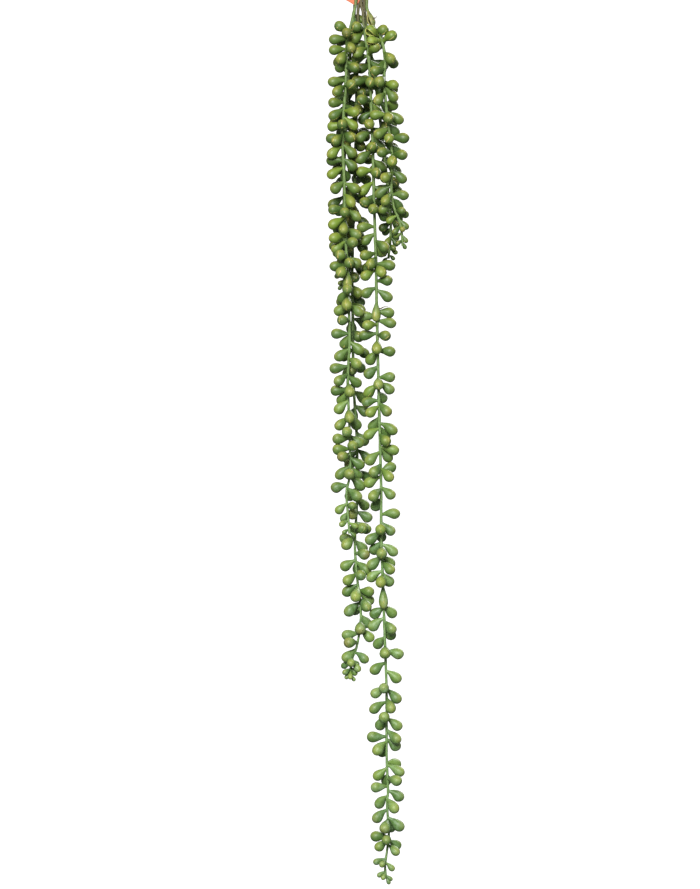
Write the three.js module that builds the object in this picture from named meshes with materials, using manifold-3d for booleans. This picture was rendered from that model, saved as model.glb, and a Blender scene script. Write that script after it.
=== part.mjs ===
// Potted burro's tail: a terracotta pot on a wire hanger, from which six leafy strands come over
// the front rim and hang free. Millimetres, +Z up, front towards -Y. The origin is the point where
// the hanger's hook bears on what it hangs from.
import * as THREE from "three";
import { mergeVertices } from "three/addons/utils/BufferGeometryUtils.js";
import Module from "manifold-3d";

const wasm = await Module();
wasm.setup();

// ---- driving dimensions ----
const CLEARANCE = 0.35; // between pieces that touch

const POT_TOP_Z = -205;
const POT_HEIGHT = 92;
const POT_RIM_RADIUS = 60;
const POT_RIM_HEIGHT = 20;
const POT_BODY_TOP_RADIUS = 54.5;
const POT_BASE_RADIUS = 42;
const POT_WALL = 6;
const POT_FLOOR = 7;
const POT_DRAIN_RADIUS = 4.5;
const POT_SIDES = 32;
const POT_BOTTOM_Z = POT_TOP_Z - POT_HEIGHT;

const SOIL_EDGE_Z = POT_TOP_Z - 17;
const SOIL_CROWN = 3;
const SOIL_SIDES = 20;
const STEM_ROOT_DEPTH = 26;

const WIRE_RADIUS = 1.1;
const WIRE_SIDES = 6;
const WIRE_HOLE_RADIUS = 2.6;
const DRILL_SIDES = 8;
const WIRE_HOLE_DROP = 8.5; // of the rim's holes below its top
const WIRE_AZIMUTHS = { hanger_wire_left: 210, hanger_wire_right: 330, hanger_wire_back: 90 };

const HOOK_WIRE_RADIUS = 1.8;
const HOOK_INNER_RADIUS = 13;
const HOOK_SIDES = 6;
const HUB_TOP_Z = -58;
const HUB_THICKNESS = 4;
const HUB_RADIUS = 10.5;
const HUB_SIDES = 18;
const HUB_WIRE_RADIUS = 6; // of the circle that the wires pass through
const WIRE_HEAD_RADIUS = 2.4;

const BUNDLE_Z = -320; // where the strands, still one narrow bundle, leave the pot behind
const BUNDLE_Y = -66;

const LABEL_WIDTH = 30;
const LABEL_HEIGHT = 18;
const LABEL_THICKNESS = 0.9;
const LABEL_TILT = 31; // degrees, its lower edge rising to the left
const LABEL_CORNER = { x: -6.5, drop: 7 };
const LABEL_BAND_HEIGHT = 9;
const LABEL_BAND_RISE = 9; // from the bundle point up to the band's middle
const LABEL_BAND_WALL = 0.7;

const STEM_RADIUS = 1.45;
const STEM_TIP_RADIUS = 0.95;
const STEM_SIDES = 4;
const STEM_CORNER_GROWTH = 1.2; // makes up for the flats of a four-sided stem
const STEM_LONGEST_STEP = 40;
const STEM_SHARPEST_TURN = 16; // degrees between two steps

const LEAF_LENGTH = 20;
const LEAF_RADIUS = 5.55;
const LEAF_SIDES = 4;
const LEAF_ROOT = 0.3; // how far a leaf's point runs past the stem's axis
const LEAF_CORNER_GROWTH = 1.1; // makes up for the flats of a four-sided leaf
const LEAF_GAP = 0.45;
const BUD_SCALE = 0.4; // leaf size at a strand's tip
const WHORL_STEP = 2.2; // drop from one leaf of a whorl to the next

// ---- the leaf rule: each letter is a leaf, by the side that it grows to and how it hangs ----
const DROOPING = 38;
const LEVEL = 7;
const COMPASS = { E: 0, K: 45, N: 90, D: 135, W: 180, Q: 225, S: 270, P: 315 };
const RISING = { 1: { azimuth: 200, droop: -26 }, 2: { azimuth: -20, droop: -26 } };
const HUGGING = { azimuth: 270, droop: 80, slim: 0.62 };
const AZIMUTH_JITTER = 13;
const DROOP_JITTER = 8;
const LENGTH_JITTER = 0.08;
const TURNS = [0, 18, -18, 36, -36, 56, -56, 78, -78];
const TILTS = [0, 14, -16];

// A strand: where it roots across the pot, its row in the bundle (front -1, back 1), the length of
// the last stretch over which its leaves shrink to buds, its route as [across, down, depth] from the
// bundle point, and its leaves as [down, letters].
const STRANDS = {
  strand_long: {
    seed: 31,
    rootX: 2,
    row: -1,
    taper: 50,
    route: [
      [-1.1, 0, -2.4], [1.1, 14, -2.6], [2, 31, -3], [5, 50, -4], [8, 72, -5], [10, 112, -6],
      [12, 163, -6], [13.5, 225, -6], [15.5, 292, -6], [16.5, 345, -6], [18, 410, -7],
      [19.7, 480, -7], [21.4, 545, -7], [21.6, 600, -7], [23.5, 658, -7], [25.3, 709, -6],
      [27.6, 780, -5], [27.6, 844, -4], [29.2, 888, -4], [28, 903, -4], [30.2, 937, -3],
      [28.2, 956, -3], [26, 973, -3], [27, 988, -3],
    ],
    whorls: [
      [32, "q"], [34, "Q"], [37, "e"], [48, "e"], [55, "Q"], [63, "2"], [64, "w"], [68, "K"],
      [90, "w"], [94, "sE"], [115, "qK"], [127, "D"], [140, "s"], [145, "E"], [149, "W"],
      [155, "K"], [168, "s"], [171, "W"], [180, "K"], [192, "w"], [197, "s"], [205, "W"],
      [210, "E"], [220, "D"], [228, "w"], [234, "sE"], [256, "w"], [263, "W"], [271, "PE"],
      [285, "q"], [290, "QD"], [297, "e"], [300, "P"], [304, "W"], [317, "s"], [324, "WE"],
      [338, "V"], [351, "e"], [358, "w"], [361, "e"], [366, "q"], [375, "wp"], [383, "S"],
      [396, "e"], [395, "D"], [412, "W"], [425, "e"], [424, "P"], [431, "ED"], [441, "E"],
      [451, "w"], [453, "P"], [457, "W"], [469, "D"], [476, "E"], [480, "K"], [482, "W"],
      [488, "P"], [503, "e"], [505, "K"], [508, "W"], [522, "Q"], [527, "P"], [531, "2"],
      [536, "W"], [548, "E"], [550, "Q"], [561, "D"], [579, "e"], [587, "E"], [595, "E"],
      [595, "s"], [597, "W"], [609, "W"], [612, "E"], [616, "S"], [625, "W"], [626, "K"],
      [631, "E"], [642, "WKS"], [651, "Q"], [657, "V"], [681, "KD"], [695, "W"], [698, "P"], [704, "E"],
      [716, "D"], [727, "S"], [733, "e"], [745, "W"], [754, "E"], [770, "sWE"], [785, "P"],
      [789, "W"], [803, "sDE"], [813, "K"], [820, "P"], [828, "w"], [831, "E"], [834, "QD"],
      [858, "k"], [860, "E"], [863, "W"], [871, "D"], [876, "p"], [884, "w"], [889, "E"],
      [895, "D"], [898, "P"], [910, "W"], [919, "E"], [921, "QK"], [941, "wsQ"], [945, "K"],
      [950, "E"], [965, "wqE"], [979, "wqe"], [986, "E"],
    ],
  },
  strand_front_left: {
    seed: 17,
    rootX: -6,
    row: -1,
    taper: 45,
    route: [
      [-6.8, 0, -2.4], [-9, 14, -4], [-13.2, 33, -8], [-17, 52, -12], [-18, 90, -15],
      [-20.6, 132, -15], [-21.8, 165, -15], [-19.9, 205, -15], [-18.6, 262, -14], [-16, 318, -13],
      [-14, 380, -12], [-16, 430, -11], [-14.2, 478, -10], [-13.4, 530, -9], [-17.4, 553, -9],
      [-16.2, 574, -9], [-14.1, 600, -9],
    ],
    whorls: [
      [16, "V"], [39, "1s"], [46, "wE"], [57, "wQ"], [69, "WK"], [79, "p"], [93, "w"], [98, "W"],
      [99, "se"], [117, "qK"], [124, "Wp"], [133, "E"], [142, "ws"], [149, "P"], [152, "Q"],
      [154, "w"], [164, "E"], [166, "W"], [180, "E"], [183, "w"], [190, "WK"], [205, "WE"],
      [220, "P"], [235, "wE"], [242, "s"], [246, "W"], [250, "Q"], [256, "pE"], [267, "q"],
      [272, "Wp"], [288, "qE"], [296, "s"], [300, "wQ"], [301, "V"], [326, "sD"], [334, "S"],
      [342, "WE"], [362, "q"], [376, "wD"], [385, "EK"], [393, "W"], [404, "P"], [412, "w"],
      [421, "QK"], [431, "S"], [438, "w"], [440, "D"], [451, "W"], [460, "S"], [469, "QK"],
      [485, "s"], [490, "E"], [493, "q"], [500, "s"], [505, "w"], [513, "qE"], [524, "WK"],
      [531, "s"], [537, "E"], [546, "w"], [549, "E"], [566, "Wp"], [576, "D"], [585, "we"],
      [595, "we"],
    ],
  },
  strand_right: {
    seed: 43,
    rootX: 10,
    row: -1,
    taper: 62,
    route: [
      [5.6, 0, -2.4], [6.8, 14, -4], [14, 33, -10], [22, 47, -16], [25.8, 70, -19], [24.6, 92, -20],
      [27, 122, -20], [31.5, 158, -20], [34.2, 184, -20], [32.6, 210, -20], [35, 232, -20],
      [43, 254, -20], [45.4, 278, -20],
    ],
    whorls: [
      [36, "p"], [50, "2"], [61, "P"], [66, "E"], [70, "K"], [80, "q"], [88, "W"], [93, "K"],
      [98, "sE"], [107, "Q"], [113, "P"], [119, "e"], [128, "E"], [130, "S"], [132, "w"],
      [142, "K"], [146, "W"], [156, "se"], [165, "K"], [174, "wp"], [178, "Q"], [193, "EW"],
      [199, "P"], [211, "D"], [218, "Q"], [221, "e"], [225, "K"], [229, "W"], [239, "pe"],
      [244, "W"], [248, "E"], [255, "We"], [263, "wE"], [271, "qK"],
    ],
  },
  strand_back_left: {
    seed: 59,
    rootX: -2,
    row: 1,
    taper: 30,
    route: [
      [-3.4, 0, 2.4], [-4.5, 14, 3], [-4.5, 31, 6], [-5, 56, 12], [-6, 101, 17], [-7, 158, 18],
      [-9, 225, 18], [-11, 304, 16], [-10.1, 371, 14], [-9.6, 430, 13], [-6, 490, 12],
      [-5.6, 562, 10], [-8, 612, 8], [-5.4, 650, 6], [-1.2, 692, 4], [-5.6, 726, 3],
      [-12, 744, 2], [-12.4, 760, 2],
    ],
    whorls: [
      [40, "QD"], [50, "e"], [65, "sW"], [80, "D"], [90, "qP"], [98, "W"], [115, "dSE"], [130, "D"],
      [140, "WP"], [152, "WP"], [165, "QN"], [176, "e"], [190, "sE"], [204, "D"], [215, "wP"],
      [228, "N"], [240, "QE"], [253, "D"], [264, "S"], [270, "E"], [284, "W"], [295, "PD"],
      [310, "s"], [320, "P"], [330, "KW"], [340, "E"], [348, "w"], [358, "EN"], [372, "PD"],
      [390, "EW"], [404, "KS"], [410, "EN"], [431, "D"], [440, "K"], [456, "EN"], [486, "K"],
      [506, "ED"], [514, "P"], [529, "K"], [549, "D"], [559, "K"], [570, "Q"], [576, "E"],
      [588, "EN"], [597, "p"], [604, "QwK"], [623, "e"], [630, "WD"], [632, "E"], [637, "K"],
      [645, "Q"], [649, "e"], [658, "WQ"], [664, "pE"], [674, "E"], [678, "W"], [686, "w"],
      [692, "K"], [699, "S"], [707, "E"], [713, "w"], [723, "w"], [730, "W"], [734, "E"],
      [741, "w"], [746, "e"], [752, "q"], [757, "wE"],
    ],
  },
  strand_behind_left: {
    seed: 71,
    rootX: -10,
    row: 1,
    taper: 62,
    route: [
      [-8.4, 0, 2.4], [-8.6, 14, 3], [-10, 34, 5], [-14, 66, 8], [-17, 112, 10], [-19.5, 169, 11],
      [-20.5, 225, 11], [-20.5, 276, 9], [-20, 322, 7],
    ],
    whorls: [
      [44, "dK"], [60, "W"], [67, "PN"], [84, "W"], [90, "QK"], [106, "N"], [113, "WP"], [130, "Q"],
      [136, "ND"], [150, "W"], [159, "EQ"], [174, "D"], [182, "WS"], [198, "N"], [205, "QE"],
      [220, "W"], [228, "DP"], [243, "Q"], [251, "NE"], [266, "W"], [274, "PQ"], [288, "wN"],
      [297, "QE"], [306, "we"], [314, "qN"], [319, "wp"],
    ],
  },
  strand_back_right: {
    seed: 83,
    rootX: 6,
    row: 1,
    taper: 62,
    route: [
      [2.4, 0, 2.4], [3.2, 14, 3], [5.5, 34, 6], [11.3, 66, 11], [18, 112, 15], [24.8, 169, 17],
      [29.6, 214, 17], [32.6, 256, 16], [30, 290, 15],
    ],
    whorls: [
      [44, "eS"], [60, "N"], [67, "EP"], [84, "W"], [90, "DE"], [106, "N"], [113, "KS"], [130, "E"],
      [136, "PN"], [152, "D"], [159, "EQ"], [174, "N"], [182, "KW"], [198, "P"], [205, "EQ"],
      [216, "D"], [228, "DP"], [238, "N"], [246, "PW"], [256, "wK"], [264, "QE"], [272, "we"],
      [279, "pq"], [286, "ew"],
    ],
  },
};

// ---- materials ----
const finish = (color, roughness, metalness = 0) =>
  new THREE.MeshStandardMaterial({ color, roughness, metalness });
const TERRACOTTA = finish(0xb8694a, 0.9);
const SOIL = finish(0x3a2c22, 1);
const STEEL = finish(0x4a4d4f, 0.45, 0.8);
const LABEL = finish(0xe07a50, 0.6);
const LEAF_GREEN = finish(0x6f8f45, 0.5);
const SHADED_GREEN = finish(0x4f7034, 0.55);

// ---- solids ----
const alongX = new THREE.Vector3(1, 0, 0);
const alongY = new THREE.Vector3(0, 1, 0);

function solidOf(geometry) {
  const bare = geometry.clone();
  bare.deleteAttribute("normal");
  bare.deleteAttribute("uv");
  const merged = mergeVertices(bare, 1e-4);
  const corners = merged.index.array;
  const triangles = [];
  for (let i = 0; i < corners.length; i += 3) {
    const [a, b, c] = [corners[i], corners[i + 1], corners[i + 2]];
    if (a !== b && b !== c && c !== a) triangles.push(a, b, c);
  }
  const mesh = new wasm.Mesh({
    numProp: 3,
    vertProperties: merged.attributes.position.array,
    triVerts: new Uint32Array(triangles),
  });
  return new wasm.Manifold(mesh);
}

function geometryOf(solid) {
  const mesh = solid.getMesh();
  const geometry = new THREE.BufferGeometry();
  geometry.setAttribute("position", new THREE.BufferAttribute(mesh.vertProperties, 3));
  geometry.setIndex(new THREE.BufferAttribute(mesh.triVerts, 1));
  geometry.computeVertexNormals();
  return geometry;
}

// A body turned about Z, from its profile's [radius, height] points.
function turned(profile, sides) {
  const points = profile.map(([radius, height]) => new THREE.Vector2(radius, height));
  return new THREE.LatheGeometry(points, sides).rotateX(Math.PI / 2);
}

// A closed tube through centres. Its section is turned by roll from the plane's normal.
function tube(centres, radiusAt, sides, normal, roll = () => 0) {
  const last = centres.length - 1;
  const geometry = new THREE.CylinderGeometry(1, 1, 1, sides, last);
  const position = geometry.attributes.position;
  const along = new THREE.Vector3();
  const across = new THREE.Vector3();
  const over = new THREE.Vector3();
  const vertex = new THREE.Vector3();
  for (let i = 0; i < position.count; i++) {
    vertex.fromBufferAttribute(position, i);
    const level = Math.round((0.5 - vertex.y) * last);
    const radius = radiusAt(level / last);
    vertex.applyAxisAngle(alongY, roll(level));
    along.subVectors(centres[Math.min(level + 1, last)], centres[Math.max(level - 1, 0)]);
    along.normalize();
    across.copy(normal).addScaledVector(along, -normal.dot(along)).normalize();
    over.crossVectors(along, across);
    const placed = centres[level]
      .clone()
      .addScaledVector(across, vertex.x * radius)
      .addScaledVector(over, vertex.z * radius);
    position.setXYZ(i, placed.x, placed.y, placed.z);
  }
  return geometry;
}

// ---- curves ----
const SAMPLES_PER_SPAN = 12;

function smoothRoute(points) {
  const curve = new THREE.CatmullRomCurve3(points, false, "catmullrom", 0.5);
  return curve.getPoints((points.length - 1) * SAMPLES_PER_SPAN);
}

// Keeps of a fine route only the points that its bends and the longest step need.
function thinned(route) {
  const kept = [route[0]];
  const heading = new THREE.Vector3().subVectors(route[1], route[0]);
  const next = new THREE.Vector3();
  for (let i = 1; i < route.length - 1; i++) {
    next.subVectors(route[i + 1], route[i]);
    const turn = THREE.MathUtils.radToDeg(heading.angleTo(next));
    const run = route[i].distanceTo(kept[kept.length - 1]);
    if (turn > STEM_SHARPEST_TURN || run > STEM_LONGEST_STEP) {
      kept.push(route[i]);
      heading.copy(next);
    }
  }
  kept.push(route[route.length - 1]);
  return kept;
}

// ---- pot, soil and hanger ----
function innerRadiusAt(z) {
  const share = (z - POT_BOTTOM_Z) / POT_HEIGHT;
  return THREE.MathUtils.lerp(POT_BASE_RADIUS, POT_RIM_RADIUS, share) - POT_WALL;
}

function potSolid() {
  const rimBottomZ = POT_TOP_Z - POT_RIM_HEIGHT;
  const floorZ = POT_BOTTOM_Z + POT_FLOOR;
  const chamfer = 1.2;
  const profile = [
    [POT_DRAIN_RADIUS, POT_BOTTOM_Z],
    [POT_BASE_RADIUS - chamfer, POT_BOTTOM_Z],
    [POT_BASE_RADIUS, POT_BOTTOM_Z + chamfer],
    [POT_BODY_TOP_RADIUS, rimBottomZ],
    [POT_RIM_RADIUS - 1, rimBottomZ],
    [POT_RIM_RADIUS, rimBottomZ + 1],
    [POT_RIM_RADIUS, POT_TOP_Z - chamfer],
    [POT_RIM_RADIUS - chamfer, POT_TOP_Z],
    [innerRadiusAt(POT_TOP_Z) + 1, POT_TOP_Z],
    [innerRadiusAt(POT_TOP_Z), POT_TOP_Z - 1],
    [innerRadiusAt(floorZ), floorZ],
    [POT_DRAIN_RADIUS, floorZ],
    [POT_DRAIN_RADIUS, POT_BOTTOM_Z],
  ];
  let pot = solidOf(turned(profile, POT_SIDES));
  for (const azimuth of Object.values(WIRE_AZIMUTHS)) {
    const drill = new THREE.CylinderGeometry(WIRE_HOLE_RADIUS, WIRE_HOLE_RADIUS, 20, DRILL_SIDES)
      .rotateZ(Math.PI / 2)
      .translate(POT_RIM_RADIUS - POT_WALL / 2, 0, POT_TOP_Z - WIRE_HOLE_DROP)
      .rotateZ(THREE.MathUtils.degToRad(azimuth));
    pot = pot.subtract(solidOf(drill));
  }
  return pot;
}

function soilSolid(stems) {
  const bottomZ = POT_BOTTOM_Z + POT_FLOOR + CLEARANCE;
  const edgeRadius = innerRadiusAt(SOIL_EDGE_Z) - CLEARANCE * 2;
  const profile = [
    [0, bottomZ],
    [innerRadiusAt(bottomZ) - CLEARANCE * 2, bottomZ],
    [edgeRadius, SOIL_EDGE_Z],
    [edgeRadius * 0.6, SOIL_EDGE_Z + SOIL_CROWN * 0.8],
    [0, SOIL_EDGE_Z + SOIL_CROWN],
  ];
  const soil = solidOf(turned(profile, SOIL_SIDES));
  return stems.reduce((rest, stem) => rest.subtract(stem), soil);
}

function hookRoute() {
  const radius = HOOK_INNER_RADIUS + HOOK_WIRE_RADIUS;
  const route = [
    [0, HUB_TOP_Z - HUB_THICKNESS / 2],
    [0, -44],
    [-1.5, -35],
  ];
  for (const angle of [232, 205, 180, 155, 130, 105, 80, 55, 30, 5, -20, -40]) {
    const turn = THREE.MathUtils.degToRad(angle);
    route.push([radius * Math.cos(turn), radius * Math.sin(turn) - HOOK_INNER_RADIUS]);
  }
  return route.map(([x, z]) => new THREE.Vector3(x, 0, z));
}

function hubHoles() {
  return Object.values(WIRE_AZIMUTHS).map((azimuth) => {
    const radius = WIRE_RADIUS + 0.6;
    const drill = new THREE.CylinderGeometry(radius, radius, HUB_THICKNESS * 3, DRILL_SIDES)
      .rotateX(Math.PI / 2)
      .translate(HUB_WIRE_RADIUS, 0, HUB_TOP_Z - HUB_THICKNESS / 2)
      .rotateZ(THREE.MathUtils.degToRad(azimuth));
    return solidOf(drill);
  });
}

function hookSolid() {
  const bent = solidOf(tube(hookRoute(), () => HOOK_WIRE_RADIUS, HOOK_SIDES, alongY));
  const hub = turned(
    [
      [0, HUB_TOP_Z - HUB_THICKNESS],
      [HUB_RADIUS - 1, HUB_TOP_Z - HUB_THICKNESS],
      [HUB_RADIUS, HUB_TOP_Z - HUB_THICKNESS + 1],
      [HUB_RADIUS, HUB_TOP_Z - 1],
      [HUB_RADIUS - 1, HUB_TOP_Z],
      [0, HUB_TOP_Z],
    ],
    HUB_SIDES,
  );
  return hubHoles().reduce((rest, hole) => rest.subtract(hole), bent.add(solidOf(hub)));
}

function wireSolid(azimuth) {
  const holeZ = POT_TOP_Z - WIRE_HOLE_DROP;
  const headZ = HUB_TOP_Z + CLEARANCE + WIRE_HEAD_RADIUS;
  const turn = THREE.MathUtils.degToRad(azimuth);
  const outwards = new THREE.Vector3(Math.cos(turn), Math.sin(turn), 0);
  const tangent = new THREE.Vector3(-Math.sin(turn), Math.cos(turn), 0);
  const stations = [
    [HUB_WIRE_RADIUS, headZ],
    [HUB_WIRE_RADIUS, HUB_TOP_Z - HUB_THICKNESS - 1],
    [HUB_WIRE_RADIUS + 2.2, HUB_TOP_Z - HUB_THICKNESS - 7],
    [POT_RIM_RADIUS + 2.6, POT_TOP_Z + 6],
    [POT_RIM_RADIUS + 4, holeZ + 5],
    [POT_RIM_RADIUS + 3, holeZ + 1],
    [POT_RIM_RADIUS, holeZ],
    [POT_RIM_RADIUS - POT_WALL, holeZ],
    [POT_RIM_RADIUS - POT_WALL - 3.2, holeZ + 0.6],
    [POT_RIM_RADIUS - POT_WALL - 4.8, holeZ + 3.4],
    [POT_RIM_RADIUS - POT_WALL - 5, holeZ + 7],
  ];
  const centres = stations.map(([radius, z]) => outwards.clone().multiplyScalar(radius).setZ(z));
  const head = new THREE.SphereGeometry(WIRE_HEAD_RADIUS, 6, 4).rotateX(Math.PI / 2);
  head.translate(centres[0].x, centres[0].y, headZ);
  return solidOf(tube(centres, () => WIRE_RADIUS, WIRE_SIDES, tangent)).add(solidOf(head));
}

// ---- strands ----
function strandCentres({ rootX, row, route }) {
  const soilZ = SOIL_EDGE_Z + SOIL_CROWN;
  const rimEdgeY = -POT_RIM_RADIUS;
  const overRim = [
    [rootX, rimEdgeY + 24, soilZ - STEM_ROOT_DEPTH],
    [rootX, rimEdgeY + 24, soilZ - 6],
    [rootX, rimEdgeY + 23.5, soilZ + 5],
    [rootX, rimEdgeY + 18, POT_TOP_Z + 0.5],
    [rootX, rimEdgeY + 10, POT_TOP_Z + 3],
    [rootX, rimEdgeY + 2.5, POT_TOP_Z + 2.6],
    [rootX, rimEdgeY - 1.8, POT_TOP_Z + 1],
    [rootX, rimEdgeY - 3.6, POT_TOP_Z - 4],
    [rootX, rimEdgeY - 4.2, POT_TOP_Z - 14],
    [rootX, BUNDLE_Y + row * 1.2, POT_TOP_Z - 32],
    [rootX * 0.95, BUNDLE_Y + row * 2.2, POT_TOP_Z - 65],
  ].map((point) => new THREE.Vector3(...point));
  const hanging = route.map(
    ([across, down, depth]) => new THREE.Vector3(across, BUNDLE_Y + depth, BUNDLE_Z - down),
  );
  return smoothRoute([...overRim, ...hanging]);
}

// The point of a strand's axis at a height below the bundle point.
function hangingPoint(centres, down) {
  const z = BUNDLE_Z - down;
  let low = centres.length - 1;
  while (low > 1 && centres[low - 1].z < z) low -= 1;
  const [above, below] = [centres[low - 1], centres[low]];
  const share = Math.min(Math.max((above.z - z) / (above.z - below.z), 0), 1);
  return new THREE.Vector3().lerpVectors(above, below, share);
}

function stemGeometry(centres, extra = 0) {
  const steps = thinned(centres);
  const radiusAt = (share) =>
    STEM_CORNER_GROWTH *
    (THREE.MathUtils.lerp(STEM_RADIUS, STEM_TIP_RADIUS, Math.max(share * 1.6 - 0.6, 0)) + extra);
  return tube(steps, radiusAt, STEM_SIDES, alongX, () => Math.PI / STEM_SIDES);
}

function randomSource(seed) {
  let state = seed;
  return () => {
    state = (state * 1664525 + 1013904223) % 4294967296;
    return state / 4294967296;
  };
}

function leafPose(letter) {
  if (letter === "V") return HUGGING;
  if (letter in RISING) return RISING[letter];
  const upper = letter.toUpperCase();
  return { azimuth: COMPASS[upper], droop: letter === upper ? DROOPING : LEVEL };
}

function leafDirection(azimuth, droop) {
  const turn = THREE.MathUtils.degToRad(azimuth);
  const fall = THREE.MathUtils.degToRad(droop);
  return new THREE.Vector3(
    Math.cos(turn) * Math.cos(fall),
    Math.sin(turn) * Math.cos(fall),
    -Math.sin(fall),
  );
}

// Balls that fill a leaf, as [share of its length, share of its greatest radius].
const LEAF_BALLS = [
  [0.26, 0.46],
  [0.46, 0.8],
  [0.68, 1.06],
  [0.86, 0.8],
];

function ballsOf(leaf) {
  return LEAF_BALLS.map(([share, size]) => ({
    centre: leaf.root.clone().addScaledVector(leaf.direction, leaf.length * share),
    radius: leaf.radius * size,
  }));
}

function touches(balls, others) {
  return balls.some(({ centre, radius }) =>
    others.some((other) => centre.distanceTo(other.centre) < radius + other.radius + LEAF_GAP),
  );
}

// Grows a strand's leaves in order. A leaf that would touch another, or another strand's stem, is
// turned and tilted until it hangs clear, and left out where it can't.
function growLeaves(name, centres, stemBalls, taken) {
  const { seed, taper, whorls } = STRANDS[name];
  const random = randomSource(seed);
  const jitter = (size) => (random() * 2 - 1) * size;
  const axis = thinned(centres);
  const tipDown = BUNDLE_Z - axis[axis.length - 1].z;
  const leaves = [];
  for (const [top, letters] of whorls) {
    [...letters].forEach((letter, i) => {
      const pose = leafPose(letter);
      const down = Math.min(top + i * WHORL_STEP, tipDown - 1);
      const full = Math.min(BUD_SCALE + ((1 - BUD_SCALE) * (tipDown - down)) / taper, 1);
      const length = LEAF_LENGTH * full * (1 + jitter(LENGTH_JITTER));
      const azimuth = pose.azimuth + jitter(AZIMUTH_JITTER);
      const droop = pose.droop + jitter(DROOP_JITTER);
      const radius = LEAF_RADIUS * full * (0.85 + 0.15 * full) * (pose.slim ?? 1);
      const root = hangingPoint(axis, down);
      const near = (ball) => Math.abs(ball.centre.z - root.z) < LEAF_LENGTH * 2.5;
      const others = [...stemBalls, ...taken].filter((ball) => ball.owner !== name && near(ball));
      const own = taken.filter((ball) => ball.owner === name && near(ball));
      for (const tilt of TILTS) {
        for (const turn of pose.slim ? [0] : TURNS) {
          const direction = leafDirection(azimuth + turn, droop + tilt);
          const leaf = { root, direction, length, radius };
          const balls = ballsOf(leaf);
          if (touches(balls, others) || touches(balls.slice(1), own)) continue;
          taken.push(...balls.slice(1).map((ball) => ({ ...ball, owner: name })));
          leaves.push(leaf);
          return;
        }
      }
    });
  }
  return leaves;
}

// A leaf's rings from its root to its end, as [share of its greatest radius, share of its length].
const LEAF_RINGS = [
  [0, 0],
  [0.93, 0.56],
  [0.9, 0.82],
  [0, 1],
];

function leafSolid({ root, direction, length, radius }) {
  const centres = LEAF_RINGS.map(([, share]) =>
    root.clone().addScaledVector(direction, share * (length + LEAF_ROOT) - LEAF_ROOT),
  );
  const widths = LEAF_RINGS.map(([width]) => width * radius * LEAF_CORNER_GROWTH);
  const widthAt = (share) => widths[Math.round(share * (widths.length - 1))];
  const level = new THREE.Vector3(-direction.y, direction.x, 0).normalize();
  const roll = (ring) => (ring === 2 ? Math.PI / LEAF_SIDES : 0);
  return solidOf(tube(centres, widthAt, LEAF_SIDES, level, roll));
}

function stemBallsOf(name, centres) {
  return centres.map((centre) => ({ centre, radius: STEM_RADIUS, owner: name }));
}

// ---- label ----
function labelSolid(frontLeftCentres) {
  const tilt = THREE.MathUtils.degToRad(LABEL_TILT);
  const flag = new THREE.BoxGeometry(LABEL_WIDTH, LABEL_THICKNESS, LABEL_HEIGHT)
    .translate(-LABEL_WIDTH / 2, 0, LABEL_HEIGHT / 2)
    .rotateY(tilt)
    .translate(LABEL_CORNER.x, BUNDLE_Y, BUNDLE_Z - LABEL_CORNER.drop);
  const held = frontLeftCentres.filter(
    ({ z }) => Math.abs(z - BUNDLE_Z - LABEL_BAND_RISE) < LABEL_BAND_HEIGHT / 2 + 1,
  );
  const bandRadius = (STEM_RADIUS + CLEARANCE) * STEM_CORNER_GROWTH + LABEL_BAND_WALL;
  const band = tube([held[0], held[held.length - 1]], () => bandRadius, 10, alongX);
  const stemWay = stemGeometry(frontLeftCentres, CLEARANCE);
  return solidOf(flag).add(solidOf(band)).subtract(solidOf(stemWay));
}

// ---- assembly ----
const group = new THREE.Group();

function addPiece(name, solid, material) {
  const mesh = new THREE.Mesh(geometryOf(solid), material);
  mesh.name = name;
  group.add(mesh);
}

const centresOf = {};
for (const [name, strand] of Object.entries(STRANDS)) centresOf[name] = strandCentres(strand);

const stemBalls = Object.entries(centresOf).flatMap(([name, centres]) => stemBallsOf(name, centres));
const taken = [];
for (const [name, centres] of Object.entries(centresOf)) {
  const leaves = growLeaves(name, centres, stemBalls, taken);
  const stem = solidOf(stemGeometry(centres));
  const strand = leaves.reduce((grown, leaf) => grown.add(leafSolid(leaf)), stem);
  addPiece(name, strand, STRANDS[name].row < 0 ? LEAF_GREEN : SHADED_GREEN);
}

const stemHoles = Object.values(centresOf).map((centres) =>
  solidOf(stemGeometry(centres, CLEARANCE)),
);
addPiece("pot", potSolid(), TERRACOTTA);
addPiece("soil", soilSolid(stemHoles), SOIL);
addPiece("hanger_hook", hookSolid(), STEEL);
for (const [name, azimuth] of Object.entries(WIRE_AZIMUTHS)) {
  addPiece(name, wireSolid(azimuth), STEEL);
}
addPiece("stem_label", labelSolid(centresOf.strand_front_left), LABEL);

export default group;
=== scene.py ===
"""Looks of a potted burro's tail on a wire hanger.

Metres, +Z up, front towards -Y, the hook's bearing point at the origin. The pot, the soil, the
hanger and every leafy strand are made again with finer forms in place of their CAD nodes, and the
label's CAD node gets its finish. A strand grows from its own route and leaf rule, which are worked
out in millimetres.
"""

import logging
import math
from dataclasses import dataclass, field
from enum import Enum
from typing import Any, Sequence

import bmesh
import bpy
from mathutils import Matrix, Vector


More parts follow.
